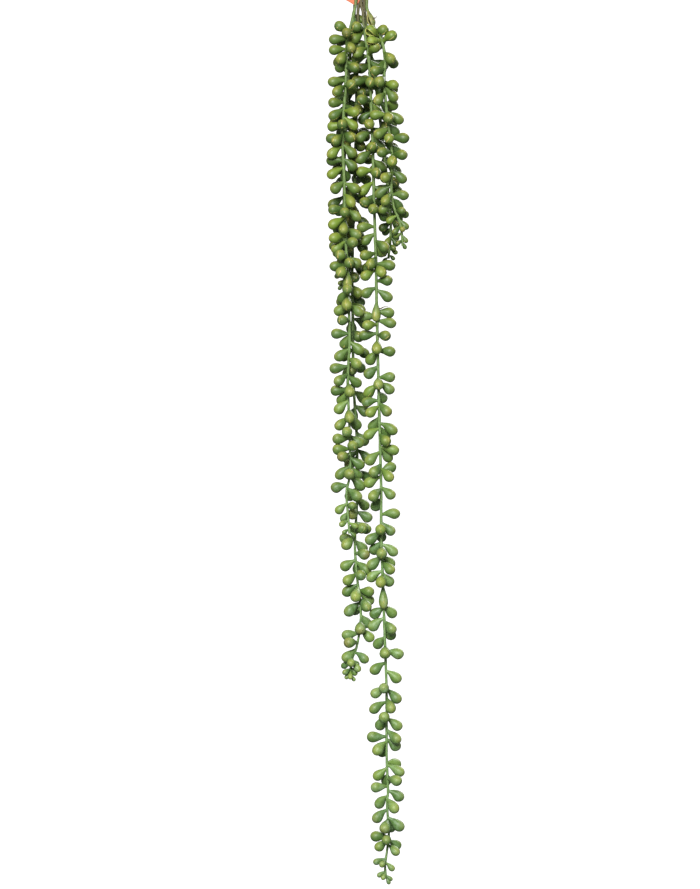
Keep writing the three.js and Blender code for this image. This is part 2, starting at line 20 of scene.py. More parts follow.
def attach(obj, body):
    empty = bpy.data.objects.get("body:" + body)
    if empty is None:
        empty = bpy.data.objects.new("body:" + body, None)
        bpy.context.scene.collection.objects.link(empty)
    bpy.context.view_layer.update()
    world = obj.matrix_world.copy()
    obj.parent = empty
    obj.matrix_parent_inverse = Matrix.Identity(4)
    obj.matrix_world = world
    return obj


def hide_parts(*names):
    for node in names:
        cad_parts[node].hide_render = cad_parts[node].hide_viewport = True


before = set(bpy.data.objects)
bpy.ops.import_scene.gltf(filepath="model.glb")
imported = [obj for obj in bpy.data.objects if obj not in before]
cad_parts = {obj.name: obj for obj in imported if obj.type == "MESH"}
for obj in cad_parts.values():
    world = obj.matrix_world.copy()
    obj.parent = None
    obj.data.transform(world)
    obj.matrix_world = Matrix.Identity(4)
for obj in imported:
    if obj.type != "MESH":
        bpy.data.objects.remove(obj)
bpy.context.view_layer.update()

MM = 0.001
LOG = logging.getLogger("burros_tail")


# ---- node graphs ----
class Link:
    """An output socket that Python arithmetic works on."""

    def __init__(self, graph: "Graph", socket: bpy.types.NodeSocket) -> None:
        """Wraps a socket of a graph."""
        self.graph = graph
        self.socket = socket

    def __add__(self, other: "Link | float") -> "Link":
        """Returns self + other."""
        return self.graph.math("ADD", self, other)

    def __mul__(self, other: "Link | float") -> "Link":
        """Returns self * other."""
        return self.graph.math("MULTIPLY", self, other)

    def __sub__(self, other: "Link | float") -> "Link":
        """Returns self - other."""
        return self.graph.math("SUBTRACT", self, other)

    def __rsub__(self, other: "Link | float") -> "Link":
        """Returns other - self."""
        return self.graph.math("SUBTRACT", other, self)

    def __abs__(self) -> "Link":
        """Returns the size of self without its sign."""
        return self.graph.math("ABSOLUTE", self)

    __radd__ = __add__
    __rmul__ = __mul__


class Graph:
    """A node tree that is filled from Python, for a material or for geometry."""

    def __init__(self, tree: bpy.types.NodeTree) -> None:
        """Empties a node tree and takes it over."""
        self.tree = tree
        tree.nodes.clear()

    def node(
        self,
        kind: str,
        sockets: dict[int | str, Any] | None = None,
        give: int | str = 0,
        **settings: Any,
    ) -> Link:
        """Adds a node.

        Args:
            kind: The node's type.
            sockets: Values or links by the input's number or name.
            give: The number or name of the output that is wanted.
            **settings: Its own settings, which are set first; "stops" are a curve's points.

        Returns:
            The output.
        """
        made = self.tree.nodes.new(kind)
        for name, value in settings.items():
            if name == "stops":
                self.set_stops(made, value)
            else:
                setattr(made, name, value)
        for name, value in (sockets or {}).items():
            if isinstance(value, Link):
                self.tree.links.new(value.socket, made.inputs[name])
            else:
                made.inputs[name].default_value = value
        return Link(self, made.outputs[give])

    def set_stops(self, node: bpy.types.Node, stops: Sequence[tuple[float, float]]) -> None:
        """Sets the points of a Float Curve node, from its left end to its right."""
        curve = node.mapping.curves[0]
        for place, height in stops[1:-1]:
            curve.points.new(place, height)
        curve.points[0].location = stops[0]
        curve.points[-1].location = stops[-1]
        node.mapping.update()

    def close(self, kind: str, end: Link) -> None:
        """Adds the tree's output node and feeds it."""
        self.tree.links.new(end.socket, self.tree.nodes.new(kind).inputs[0])

    def math(self, operation: str, first: Link | float, second: Link | float = 0.0) -> Link:
        """Returns the result of a Math node."""
        return self.node("ShaderNodeMath", {0: first, 1: second}, operation=operation)

    def vector(self, operation: str, first: Any, second: Any = (0.0, 0.0, 0.0)) -> Link:
        """Returns the result of a Vector Math node: a vector, or a number for a dot product."""
        give = "Value" if operation == "DOT_PRODUCT" else "Vector"
        return self.node("ShaderNodeVectorMath", {0: first, 1: second}, give, operation=operation)

    def scaled(self, vector: Link, size: Link | float) -> Link:
        """Returns a vector times a number."""
        return self.node("ShaderNodeVectorMath", {0: vector, "Scale": size}, operation="SCALE")

    def ease(self, value: Link, low: float, high: float) -> Link:
        """Eases a number from 0 to 1.

        Args:
            value: The number.
            low: Where the result is 0.
            high: Where the result is 1; it may be under low.

        Returns:
            The eased number.
        """
        if low > high:
            return 1.0 - self.ease(value, high, low)
        sockets = {0: value, 1: low, 2: high}
        return self.node("ShaderNodeMapRange", sockets, interpolation_type="SMOOTHSTEP")

    def noise(self, where: Link, scale: float, detail: float = 2.0, rough: float = 0.5) -> Link:
        """Returns a noise between 0 and 1 over a position."""
        sockets = {"Vector": where, "Scale": scale, "Detail": detail, "Roughness": rough}
        return self.node("ShaderNodeTexNoise", sockets, "Fac")


Colour = tuple[float, float, float]


def tone(red: int, green: int, blue: int) -> Colour:
    """Returns a screen colour of 0 to 255 as linear light."""
    shares = [part / 255 for part in (red, green, blue)]
    light = [s / 12.92 if s <= 0.04045 else ((s + 0.055) / 1.055) ** 2.4 for s in shares]
    return (light[0], light[1], light[2])


class Shader(Graph):
    """A material of nodes around one Principled shader."""

    def __init__(self, name: str) -> None:
        """Starts a material of that name."""
        self.material = bpy.data.materials.new(name)
        self.material.use_nodes = True
        super().__init__(self.material.node_tree)
        self.place = self.node("ShaderNodeTexCoord", give="Object")

    def stretched(self, x: float, y: float, z: float) -> Link:
        """Returns the object's position with each axis scaled."""
        return self.vector("MULTIPLY", self.place, (x, y, z))

    def height(self) -> Link:
        """Returns the height of the object's position."""
        return self.node("ShaderNodeSeparateXYZ", {0: self.place}, "Z")

    def attribute(self, name: str) -> Link:
        """Returns a number that the mesh carries."""
        return self.node("ShaderNodeAttribute", give="Fac", attribute_name=name)

    def mix(self, share: Link | float, first: Any, second: Any) -> Link:
        """Returns a colour between two colours.

        Args:
            share: 0 for the first and 1 for the second.
            first: A colour or a link to one.
            second: A colour or a link to one.

        Returns:
            The mixed colour.
        """
        sides = [c if isinstance(c, Link) else (*c, 1.0) for c in (first, second)]
        sockets = {0: share, 6: sides[0], 7: sides[1]}
        return self.node("ShaderNodeMix", sockets, 2, data_type="RGBA", clamp_factor=True)

    def tinted(self, colour: Link, tint: Colour) -> Link:
        """Returns a colour times a tint."""
        return self.vector("MULTIPLY", colour, tint)

    def bump(self, height: Link, distance: float, strength: float = 1.0) -> Link:
        """Returns a normal that stands for a height in shares of a distance in metres."""
        sockets = {"Height": height, "Distance": distance, "Strength": strength}
        return self.node("ShaderNodeBump", sockets)

    def finish(self, **sockets: Any) -> bpy.types.Material:
        """Closes the material.

        Args:
            **sockets: The Principled shader's inputs, with _ for each space.

        Returns:
            The material.
        """
        values = {name.replace("_", " "): value for name, value in sockets.items()}
        self.close("ShaderNodeOutputMaterial", self.node("ShaderNodeBsdfPrincipled", values))
        return self.material


class Shape(Graph):
    """A Geometry Nodes tree with named inputs."""

    KINDS = {float: "NodeSocketFloat", int: "NodeSocketInt"}

    def __init__(self, name: str, sizes: dict[str, float | int]) -> None:
        """Starts a tree.

        Args:
            name: The tree's name.
            sizes: Its inputs by name, with the values that they are set to.
        """
        super().__init__(bpy.data.node_groups.new(name, "GeometryNodeTree"))
        face = self.tree.interface
        face.new_socket("Geometry", in_out="INPUT", socket_type="NodeSocketGeometry")
        face.new_socket("Geometry", in_out="OUTPUT", socket_type="NodeSocketGeometry")
        self.values: dict[str, float | int] = {}
        for key, value in sizes.items():
            kind = self.KINDS[type(value)]
            socket = face.new_socket(key, in_out="INPUT", socket_type=kind)
            self.values[socket.identifier] = value
        self.given = self.size("Geometry")

    def size(self, name: str) -> Link:
        """Returns a named input."""
        return self.node("NodeGroupInput", give=name)

    def carried(self, name: str, kind: str = "FLOAT") -> Link:
        """Returns an attribute that the points carry."""
        sockets = {"Name": name}
        return self.node("GeometryNodeInputNamedAttribute", sockets, "Attribute", data_type=kind)

    def stored(self, geometry: Link, name: str, value: Link, kind: str = "FLOAT") -> Link:
        """Returns the geometry with a value kept on its points under a name."""
        sockets = {"Geometry": geometry, "Name": name, "Value": value}
        return self.node(
            "GeometryNodeStoreNamedAttribute", sockets, data_type=kind, domain="POINT"
        )

    def random(self, low: Sequence[float], high: Sequence[float], seed: int) -> Link:
        """Returns a random vector for each point, between two vectors."""
        sockets = {0: low, 1: high, "Seed": seed}
        return self.node("FunctionNodeRandomValue", sockets, data_type="FLOAT_VECTOR")

    def joined(self, *parts: Link) -> Link:
        """Returns several geometries as one."""
        made = self.tree.nodes.new("GeometryNodeJoinGeometry")
        for part in parts:
            self.tree.links.new(part.socket, made.inputs[0])
        return Link(self, made.outputs[0])

    def skin(self, curve: Link, radius: Link) -> Link:
        """Returns a round closed skin along a curve, with as many sides as the input Sides."""
        circle = {"Resolution": self.size("Sides"), "Radius": 1.0}
        ring = self.node("GeometryNodeCurvePrimitiveCircle", circle)
        sockets = {0: curve, 1: ring, "Scale": radius, "Fill Caps": True}
        return self.node("GeometryNodeCurveToMesh", sockets)

    def grown(
        self, seed_mesh: bpy.types.Mesh, name: str, end: Link, material: bpy.types.Material
    ) -> bpy.types.Object:
        """Closes the tree, runs it on a mesh and keeps its result as a plain mesh.

        Args:
            seed_mesh: The points or path that the tree works from.
            name: The new piece's name.
            end: The tree's last geometry.
            material: What the piece is made of.

        Returns:
            The finished piece.
        """
        real = self.node("GeometryNodeRealizeInstances", {"Geometry": end})
        finish = {"Geometry": real, "Material": material}
        self.close("NodeGroupOutput", self.node("GeometryNodeSetMaterial", finish))
        worker = added(seed_mesh, name + "_seed")
        modifier = worker.modifiers.new("grow", "NODES")
        modifier.node_group = self.tree
        for key, value in self.values.items():
            modifier[key] = value
        return added(evaluated(worker), name)


# ---- mesh helpers ----
def added(mesh: bpy.types.Mesh, name: str) -> bpy.types.Object:
    """Returns a new object of the scene that shows a mesh."""
    made = bpy.data.objects.new(name, mesh)
    bpy.context.scene.collection.objects.link(made)
    return made


def shown(work: bmesh.types.BMesh, name: str) -> bpy.types.Object:
    """Returns a bmesh as a new, smooth object of the scene, and frees it."""
    mesh = bpy.data.meshes.new(name)
    work.to_mesh(mesh)
    work.free()
    mesh.shade_smooth()
    return added(mesh, name)


def evaluated(obj: bpy.types.Object) -> bpy.types.Mesh:
    """Returns an object's mesh with its modifiers applied; the object goes."""
    graph = bpy.context.evaluated_depsgraph_get()
    graph.update()
    mesh = bpy.data.meshes.new_from_object(obj.evaluated_get(graph))
    bpy.data.objects.remove(obj)
    return mesh


def merged(first: bpy.types.Object, second: bpy.types.Object) -> bpy.types.Object:
    """Returns the first object with the second's mesh in it; the second goes."""
    work = bmesh.new()
    work.from_mesh(first.data)
    work.from_mesh(second.data)
    work.to_mesh(first.data)
    work.free()
    bpy.data.objects.remove(second)
    return first


def carry(mesh: bpy.types.Mesh, numbers: dict[str, Sequence[float]]) -> None:
    """Keeps numbers on a mesh's points, by attribute name."""
    for key, values in numbers.items():
        mesh.attributes.new(key, "FLOAT", "POINT").data.foreach_set("value", values)


def smooth_line(points: Sequence[Vector], per_span: int) -> list[Vector]:
    """Returns a Catmull-Rom line through points.

    Args:
        points: The points that it passes through.
        per_span: How many steps there are from one point to the next.

    Returns:
        The line's points, from the first to the last.
    """
    ends = [points[0] * 2 - points[1], *points, points[-1] * 2 - points[-2]]
    line: list[Vector] = []
    for i in range(len(points) - 1):
        before, start, stop, after = ends[i : i + 4]
        out, into = (stop - before) * 0.5, (after - start) * 0.5
        bent = (start - stop) * 2 + out + into
        slack = (stop - start) * 3 - out * 2 - into
        for step in range(per_span):
            t = step / per_span
            line.append(start + out * t + slack * t**2 + bent * t**3)
    return [*line, points[-1].copy()]


def rod(
    line: list[Vector],
    sides: int,
    name: str,
    material: bpy.types.Material,
    **numbers: Sequence[float],
) -> bpy.types.Object:
    """Makes a round rod along a line.

    Args:
        line: Its centre line, in metres.
        sides: How many sides its section has.
        name: The piece's name.
        material: What it is made of.
        **numbers: What its points carry: its radius as width, and what its finish reads.

    Returns:
        The rod, with closed ends.
    """
    path = bpy.data.meshes.new(name + "_line")
    path.from_pydata(line, [(i, i + 1) for i in range(len(line) - 1)], [])
    carry(path, numbers)
    shape = Shape("round_rod", {"Sides": sides})
    curve = shape.node("GeometryNodeMeshToCurve", {0: shape.given})
    skin = shape.skin(curve, shape.carried("width"))
    smooth = shape.node("GeometryNodeSetShadeSmooth", {0: skin})
    return shape.grown(path, name, smooth, material)


def turned_body(
    profile: Sequence[tuple[float, float]], sides: int, name: str, closed: bool = True
) -> bpy.types.Object:
    """Turns a profile about Z, with its corners and faces in the same order on every run.

    Args:
        profile: Radius and height of each corner, outwards below and upwards outside, so that the
            faces point outwards; a radius of 0 is on the axis.
        sides: How many steps the turn has.
        name: The object's name.
        closed: Whether the last corner joins the first.

    Returns:
        The turned body.
    """
    corners: list[Vector] = []
    rings: list[list[int]] = []
    for radius, z in profile:
        count = sides if radius > 0 else 1
        rings.append([len(corners) + step % count for step in range(sides + 1)])
        turns = [math.tau * step / sides for step in range(count)]
        corners += [Vector((radius * math.cos(a), radius * math.sin(a), z)) for a in turns]
    faces = []
    for ring, after in zip(rings, [*rings[1:], rings[0]] if closed else rings[1:]):
        for i in range(sides):
            face = dict.fromkeys((ring[i], ring[i + 1], after[i + 1], after[i]))
            if len(face) > 2:
                faces.append(list(face))
    mesh = bpy.data.meshes.new(name)
    mesh.from_pydata(corners, [], faces)
    mesh.shade_smooth()
    return added(mesh, name)


def dress(obj: bpy.types.Object, material: bpy.types.Material) -> None:
    """Gives an object one material in place of any that it has."""
    obj.data.materials.clear()
    obj.data.materials.append(material)


def place_piece(obj: bpy.types.Object, slot: str, *nodes: str) -> None:
    """Enters a finished piece in the frame.

    Args:
        obj: The piece.
        slot: The name of the material slot that it would take its finish from; not used.
        *nodes: The CAD nodes that it stands for.
    """
    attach(obj, "root")
    if nodes:
        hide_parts(*nodes)
    LOG.info("%s: %d faces", obj.name, len(obj.data.polygons))


# ---- finishes ----
@dataclass(frozen=True)
class LeafFinish:
    """Plump satin leaf skin with a thin seam rubbed away in places, dusty on young leaves; with a
    painted highlight on each leaf's upper side, painted shade on its underside and on back leaves,
    and darker up the strand, partly as older leaves and partly as painted shade.
    """

    name: str
    green: Colour = tone(106, 138, 64)
    deep: Colour = tone(78, 114, 52)
    lime: Colour = tone(136, 168, 58)
    sunny: Colour = tone(154, 166, 76)
    bloom: Colour = tone(150, 184, 148)
    seam: Colour = tone(184, 166, 92)
    blush: Colour = tone(128, 104, 58)
    young_tint: Colour = (0.97, 0.94, 0.89)
    old_tint: Colour = (0.64, 0.61, 0.46)
    shade_tint: Colour = (0.66, 0.70, 0.64)
    roughness: float = 0.45

    def material(self) -> bpy.types.Material:
        """Returns the leaf material."""
        shader = Shader(self.name)
        along, tint, old = (shader.attribute(key) for key in ("along", "tint", "old"))
        crown, flank = shader.attribute("crown"), shader.attribute("flank")
        cloud = shader.noise(shader.place, 210.0, 3.0, 0.55)
        fleck = shader.noise(shader.place, 1500.0, 2.0, 0.6)
        base = shader.mix(shader.ease(tint + cloud * 0.6 - 0.3, 0.1, 0.9), self.deep, self.green)
        base = shader.mix(shader.ease(tint, 0.74, 0.98) * (0.1 + 0.65 * old), base, self.lime)
        # Painted highlight: the sunny colour on each leaf's upper side towards its end, stronger up
        # the strand; at the ends it is partly the leaves' own yellow tips and partly painted light.
        lit = shader.ease(crown + cloud * 0.3, 0.3, 1.15) * shader.ease(along, 0.15, 0.7)
        ripe_and_lit = shader.ease(along, 0.5, 1.0) * shader.ease(crown, -0.6, 0.5)
        base = shader.mix(lit * (0.35 + 0.45 * old) + ripe_and_lit * 0.35, base, self.sunny)
        # Painted shade: the deep green laid on each leaf's underside.
        base = shader.mix(shader.ease(crown, 0.1, -0.9) * 0.6, base, self.deep)
        dusty = shader.ease(cloud, 0.35, 0.75) * shader.attribute("bloom")
        base = shader.mix(dusty * 0.55, base, self.bloom)
        # The age-and-shade tint darkens and yellows leaves up the strand: partly older leaves,
        # partly painted shade of the dense upper strands.
        young, aged = shader.tinted(base, self.young_tint), shader.tinted(base, self.old_tint)
        base = shader.mix(old, young, aged)
        # Painted shade: back leaves are darkened by the shade tint down to where they hang behind
        # the front strands.
        base = shader.mix(shader.attribute("shade_level"), base, shader.tinted(base, self.shade_tint))
        across = abs(flank + crown * shader.attribute("twist"))
        line = shader.ease(across, 0.17, 0.05) * shader.ease(along, 0.4, 0.65)
        worn_and_lit = shader.ease(shader.noise(shader.place, 420.0, 1.0), 0.46, 0.6)
        base = shader.mix(line * worn_and_lit * (0.4 + 0.5 * old), base, self.seam)
        end = shader.ease(along + cloud * 0.2, 0.86, 1.08) * shader.attribute("blush")
        base = shader.mix(end * 0.5, base, self.blush)
        base = shader.mix(shader.ease(fleck, 0.66, 0.8) * 0.25, base, self.seam)
        ridge = line * 0.6 + cloud * 0.3 + fleck * 0.1
        return shader.finish(
            Base_Color=base,
            Roughness=self.roughness + 0.16 * fleck - 0.1 * cloud,
            Normal=shader.bump(ridge, 0.0005, 0.55),
            Specular_IOR_Level=0.5,
        )


@dataclass(frozen=True)
class SplitLeafFinish:
    """The skin of a burst leaf: yellower outside, dull and dark inside, with a pale torn lip."""

    name: str = "split_leaf_skin"
    yellow: Colour = tone(126, 144, 54)
    green: Colour = tone(90, 114, 44)
    inside: Colour = tone(104, 122, 50)
    lip: Colour = tone(178, 182, 96)

    def material(self) -> bpy.types.Material:
        """Returns the burst leaf's material."""
        shader = Shader(self.name)
        cloud = shader.noise(shader.place, 260.0, 3.0, 0.6)
        base = shader.mix(shader.ease(cloud, 0.3, 0.65), self.green, self.yellow)
        base = shader.mix(shader.ease(shader.attribute("inner"), 0.4, 0.6), base, self.inside)
        ragged = shader.attribute("lip") + (cloud - 0.5) * 0.7
        base = shader.mix(shader.ease(ragged, 0.35, 0.7), base, self.lip)
        return shader.finish(
            Base_Color=base,
            Roughness=0.42 + 0.2 * cloud,
            Normal=shader.bump(cloud, 0.0006, 0.6),
            Specular_IOR_Level=0.45,
        )


WITHERED = SplitLeafFinish(
    "withered_leaf_skin",
    yellow=tone(126, 128, 70),
    green=tone(86, 104, 52),
    inside=tone(66, 66, 34),
    lip=tone(150, 144, 86),
)


@dataclass(frozen=True)
class StemFinish:
    """Jointed stem skin, pale green below and going brown in the bare stretch above."""

    name: str
    green: Colour = tone(92, 124, 66)
    pale: Colour = tone(122, 152, 94)
    woody: Colour = tone(84, 78, 48)
    old_tint: Colour = (0.78, 0.72, 0.58)

    def material(self) -> bpy.types.Material:
        """Returns the stem material."""
        shader = Shader(self.name)
        streak = shader.noise(shader.stretched(1.0, 1.0, 0.22), 900.0, 3.0)
        blotch = shader.noise(shader.place, 160.0, 2.0)
        base = shader.mix(shader.ease(streak, 0.35, 0.7), self.green, self.pale)
        # Stems darken up the strand by the same share: partly age, partly painted shade.
        base = shader.mix(shader.attribute("old"), base, shader.tinted(base, self.old_tint))
        aged = shader.ease(shader.attribute("age") + blotch * 0.5, 0.5, 1.1)
        base = shader.mix(aged, base, self.woody)
        return shader.finish(
            Base_Color=base,
            Roughness=0.5 + 0.2 * blotch,
            Normal=shader.bump(streak + blotch, 0.0004, 0.6),
            Specular_IOR_Level=0.4,
        )


@dataclass(frozen=True)
class TerracottaFinish:
    """Fired red clay with turning lines, and lime bloom that damp soil leaves on a used pot."""

    clay: Colour = tone(184, 104, 72)
    dark: Colour = tone(146, 76, 50)
    lime: Colour = tone(214, 190, 168)
    lime_low: float = -0.297
    lime_high: float = -0.262

    def material(self) -> bpy.types.Material:
        """Returns the clay material."""
        shader = Shader("terracotta")
        ring = shader.noise(shader.stretched(0.05, 0.05, 1.0), 900.0, 2.0)
        cloud = shader.noise(shader.place, 22.0, 4.0, 0.6)
        grit = shader.noise(shader.place, 1400.0, 3.0, 0.7)
        base = shader.mix(shader.ease(cloud, 0.3, 0.72), self.dark, self.clay)
        base = shader.mix(shader.ease(grit, 0.6, 0.75) * 0.35, base, self.dark)
        foot = shader.ease(shader.height() + cloud * 0.03, self.lime_high, self.lime_low)
        crust = shader.ease(shader.noise(shader.place, 60.0, 5.0, 0.7), 0.5, 0.68)
        lime = foot * 0.6 + crust * 0.38
        base = shader.mix(lime * shader.ease(grit, 0.3, 0.6), base, self.lime)
        relief = ring * 0.5 + grit * 0.3 + cloud * 0.4
        return shader.finish(
            Base_Color=base,
            Roughness=0.86 + 0.1 * grit,
            Normal=shader.bump(relief, 0.0009, 0.5),
            Specular_IOR_Level=0.3,
        )


@dataclass(frozen=True)
class SoilFinish:
    """Potting mix: dark peat and bark, with some pale perlite where a grain carries it."""

    peat: Colour = tone(44, 32, 24)
    bark: Colour = tone(92, 66, 44)
    perlite: Colour = tone(216, 210, 196)

    def material(self) -> bpy.types.Material:
        """Returns the soil material."""
        shader = Shader("potting_soil")
        crumb = shader.noise(shader.place, 700.0, 4.0, 0.7)
        kind = shader.attribute("kind")
        base = shader.mix(shader.ease(crumb + kind * 0.4, 0.4, 0.9), self.peat, self.bark)
        base = shader.mix(shader.ease(kind, 0.93, 0.95), base, self.perlite)
        return shader.finish(
            Base_Color=base, Roughness=0.95, Normal=shader.bump(crumb, 0.001, 0.8)
        )


@dataclass(frozen=True)
class WireFinish:
    """Dark coated garden wire, rubbed bright in places."""

    coat: Colour = tone(52, 56, 54)
    bare: Colour = tone(150, 150, 146)

    def material(self) -> bpy.types.Material:
        """Returns the wire material."""
        shader = Shader("coated_wire")
        rub = shader.ease(shader.noise(shader.place, 260.0, 4.0, 0.65), 0.58, 0.72)
        drawn = shader.noise(shader.stretched(1.0, 1.0, 0.1), 2400.0, 2.0)
        return shader.finish(
            Base_Color=shader.mix(rub, self.coat, self.bare),
            Metallic=0.35 + 0.6 * rub,
            Roughness=0.5 - 0.16 * rub + 0.12 * drawn,
            Normal=shader.bump(drawn, 0.0002, 0.4),
        )


@dataclass(frozen=True)
class LabelFinish:
    """Orange plastic strip, mottled where it catches the light."""

    orange: Colour = tone(182, 86, 42)
    worn_and_lit: Colour = tone(196, 114, 72)

    def material(self) -> bpy.types.Material:
        """Returns the label material."""
        shader = Shader("label_plastic")
        mottle = shader.noise(shader.place, 900.0, 3.0, 0.7)
        # Painted highlight: the lighter orange in mottled patches stands for where the strip
        # catches the light.
        base = shader.mix(shader.ease(mottle, 0.45, 0.7), self.orange, self.worn_and_lit)
        return shader.finish(
            Base_Color=base, Roughness=0.5 + 0.2 * mottle, Normal=shader.bump(mottle, 0.0003, 0.4)
        )


# ---- pot, soil and hanger ----
Profile = list[tuple[float, float]]

HANGER_TURNS = {"hanger_wire_left": 210.0, "hanger_wire_right": 330.0, "hanger_wire_back": 90.0}
SHARP_FROM = math.radians(50)
UP = Vector((0.0, 0.0, 1.0))


@dataclass
class Pot:
    """A plain terracotta pot with a thick rim, a drain hole and three holes for its wires."""

    top: float = -0.205
    height: float = 0.092
    rim_radius: float = 0.060
    rim_height: float = 0.020
    body_radius: float = 0.0545
    base_radius: float = 0.042
    wall: float = 0.006
    floor: float = 0.007
    drain_radius: float = 0.0045
    hole_radius: float = 0.0026
    hole_drop: float = 0.0085
    drill_length: float = 0.02
    drill_sides: int = 20
    sides: int = 128

    @property
    def bottom(self) -> float:
        """The height of the pot's underside."""
        return self.top - self.height

    def inner_radius(self, z: float) -> float:
        """Returns the radius of the inside wall at a height."""
        share = (z - self.bottom) / self.height
        return self.base_radius + (self.rim_radius - self.base_radius) * share - self.wall

    def profile(self) -> Profile:
        """Returns the wall's section, once round, each edge eased by a few small steps."""
        rim, base, top, bottom = self.rim_radius, self.base_radius, self.top, self.bottom
        under = top - self.rim_height
        inside = self.inner_radius(top)
        floor = bottom + self.floor
        return [
            (self.drain_radius, bottom + 0.0006),
            (self.drain_radius + 0.0006, bottom),
            (base - 0.0016, bottom),
            (base - 0.0005, bottom + 0.0003),
            (base, bottom + 0.0014),
            (self.body_radius - 0.0004, under - 0.0016),
            (self.body_radius + 0.0003, under - 0.0004),
            (self.body_radius + 0.0012, under),
            (rim - 0.0016, under),
            (rim - 0.0005, under + 0.0005),
            (rim, under + 0.0018),
            (rim, top - 0.0030),
            (rim - 0.0004, top - 0.0013),
            (rim - 0.0014, top - 0.0003),
            (rim - 0.0028, top),
            (inside + 0.0014, top - 0.0001),
            (inside + 0.0004, top - 0.0007),
            (inside, top - 0.0018),
            (self.inner_radius(floor) + 0.0004, floor + 0.0012),
            (self.inner_radius(floor) - 0.0008, floor),
            (self.drain_radius, floor),
        ]

    def drills(self) -> bpy.types.Object:
        """Returns three rods through the rim, where the wires pass."""
        work = bmesh.new()
        middle = Vector((self.rim_radius - self.wall / 2, 0.0, self.top - self.hole_drop))
        for turn in HANGER_TURNS.values():
            place = (
                Matrix.Rotation(math.radians(turn), 4, "Z")
                @ Matrix.Translation(middle)
                @ Matrix.Rotation(math.pi / 2, 4, "Y")
            )
            bmesh.ops.create_cone(
                work,
                cap_ends=True,
                segments=self.drill_sides,
                radius1=self.hole_radius,
                radius2=self.hole_radius,
                depth=self.drill_length,
                matrix=place,
            )
        return shown(work, "wire_drills")

    def build(self) -> None:
        """Makes the pot, cuts its wire holes and dresses it in clay."""
        blank = turned_body(self.profile(), self.sides, "terracotta_pot")
        tool = self.drills()
        cut = blank.modifiers.new("holes", "BOOLEAN")
        cut.operation, cut.solver, cut.object = "DIFFERENCE", "EXACT", tool
        mesh = evaluated(blank)
        bpy.data.objects.remove(tool)
        mesh.shade_smooth()
        mesh.set_sharp_from_angle(angle=SHARP_FROM)
        made = added(mesh, "terracotta_pot")
        dress(made, TerracottaFinish().material())
        place_piece(made, "terracotta", "pot")


@dataclass
class Soil:
    """Potting mix that fills the pot, its top strewn with grains."""

    pot: Pot
    edge_drop: float = 0.017
    crown: float = 0.003
    gap: float = 0.0007
    floor_gap: float = 0.0004
    rings: int = 14
    sides: int = 72
    level_from: float = 0.6
    lump_height: float = 0.003
    grains: int = 5200
    grain_radius: float = 0.0011

    @property
    def edge(self) -> float:
        """The radius of the soil's top."""
        return self.pot.inner_radius(self.pot.top - self.edge_drop) - self.gap

    def height_at(self, radius: float) -> float:
        """Returns how high the top lies at a radius."""
        dome = self.crown * (1 - (radius / self.edge) ** 2) ** 0.5
        return self.pot.top - self.edge_drop + dome

    def body(self) -> bpy.types.Object:
        """Returns the plain body that the grains lie on."""
        floor = self.pot.bottom + self.pot.floor + self.floor_gap
        wall = [(0.0, floor), (self.pot.inner_radius(floor) - self.gap, floor)]
        radii = [self.edge * i / self.rings for i in range(self.rings, -1, -1)]
        top = [(radius, self.height_at(radius)) for radius in radii]
        return turned_body([*wall, *top], self.sides, "soil_body")

    def build(self) -> None:
        """Makes the soil and its grains as one piece."""
        density = float(self.grains) / (math.pi * self.edge**2)
        shape = Shape("strewn_soil", {"Density": density, "Grain": self.grain_radius})
        facing = shape.node("GeometryNodeInputNormal", give="Normal")
        level = shape.vector("DOT_PRODUCT", facing, tuple(UP))
        is_top = shape.math("GREATER_THAN", level, self.level_from)
        lumps = shape.noise(shape.node("GeometryNodeInputPosition"), 220.0, 4.0, 0.7)
        lift = (lumps - 0.5) * self.lump_height * is_top
        lifted = {"Geometry": shape.given, "Offset": shape.node("ShaderNodeCombineXYZ", {2: lift})}
        rough = shape.node("GeometryNodeSetPosition", lifted)
        bed = {"Mesh": rough, "Selection": is_top, "Density": shape.size("Density"), "Seed": 11}
        spots = shape.node("GeometryNodeDistributePointsOnFaces", bed, distribute_method="RANDOM")
        kind = shape.node("FunctionNodeRandomValue", {"Seed": 3}, 1, data_type="FLOAT")
        spin = shape.random((0.0, 0.0, 0.0), (6.28, 6.28, 6.28), 5)
        grain = {"Radius": shape.size("Grain"), "Subdivisions": 1}
        strewn = {
            "Points": shape.stored(spots, "kind", kind),
            "Instance": shape.node("GeometryNodeMeshIcoSphere", grain),
            "Rotation": shape.node("FunctionNodeEulerToRotation", {0: spin}),
            "Scale": shape.random((0.45, 0.4, 0.3), (1.5, 1.1, 0.9), 8),
        }
        whole = shape.joined(rough, shape.node("GeometryNodeInstanceOnPoints", strewn))
        body = self.body()
        made = shape.grown(body.data, "soil_mix", whole, SoilFinish().material())
        bpy.data.objects.remove(body)
        place_piece(made, "potting_soil", "soil")


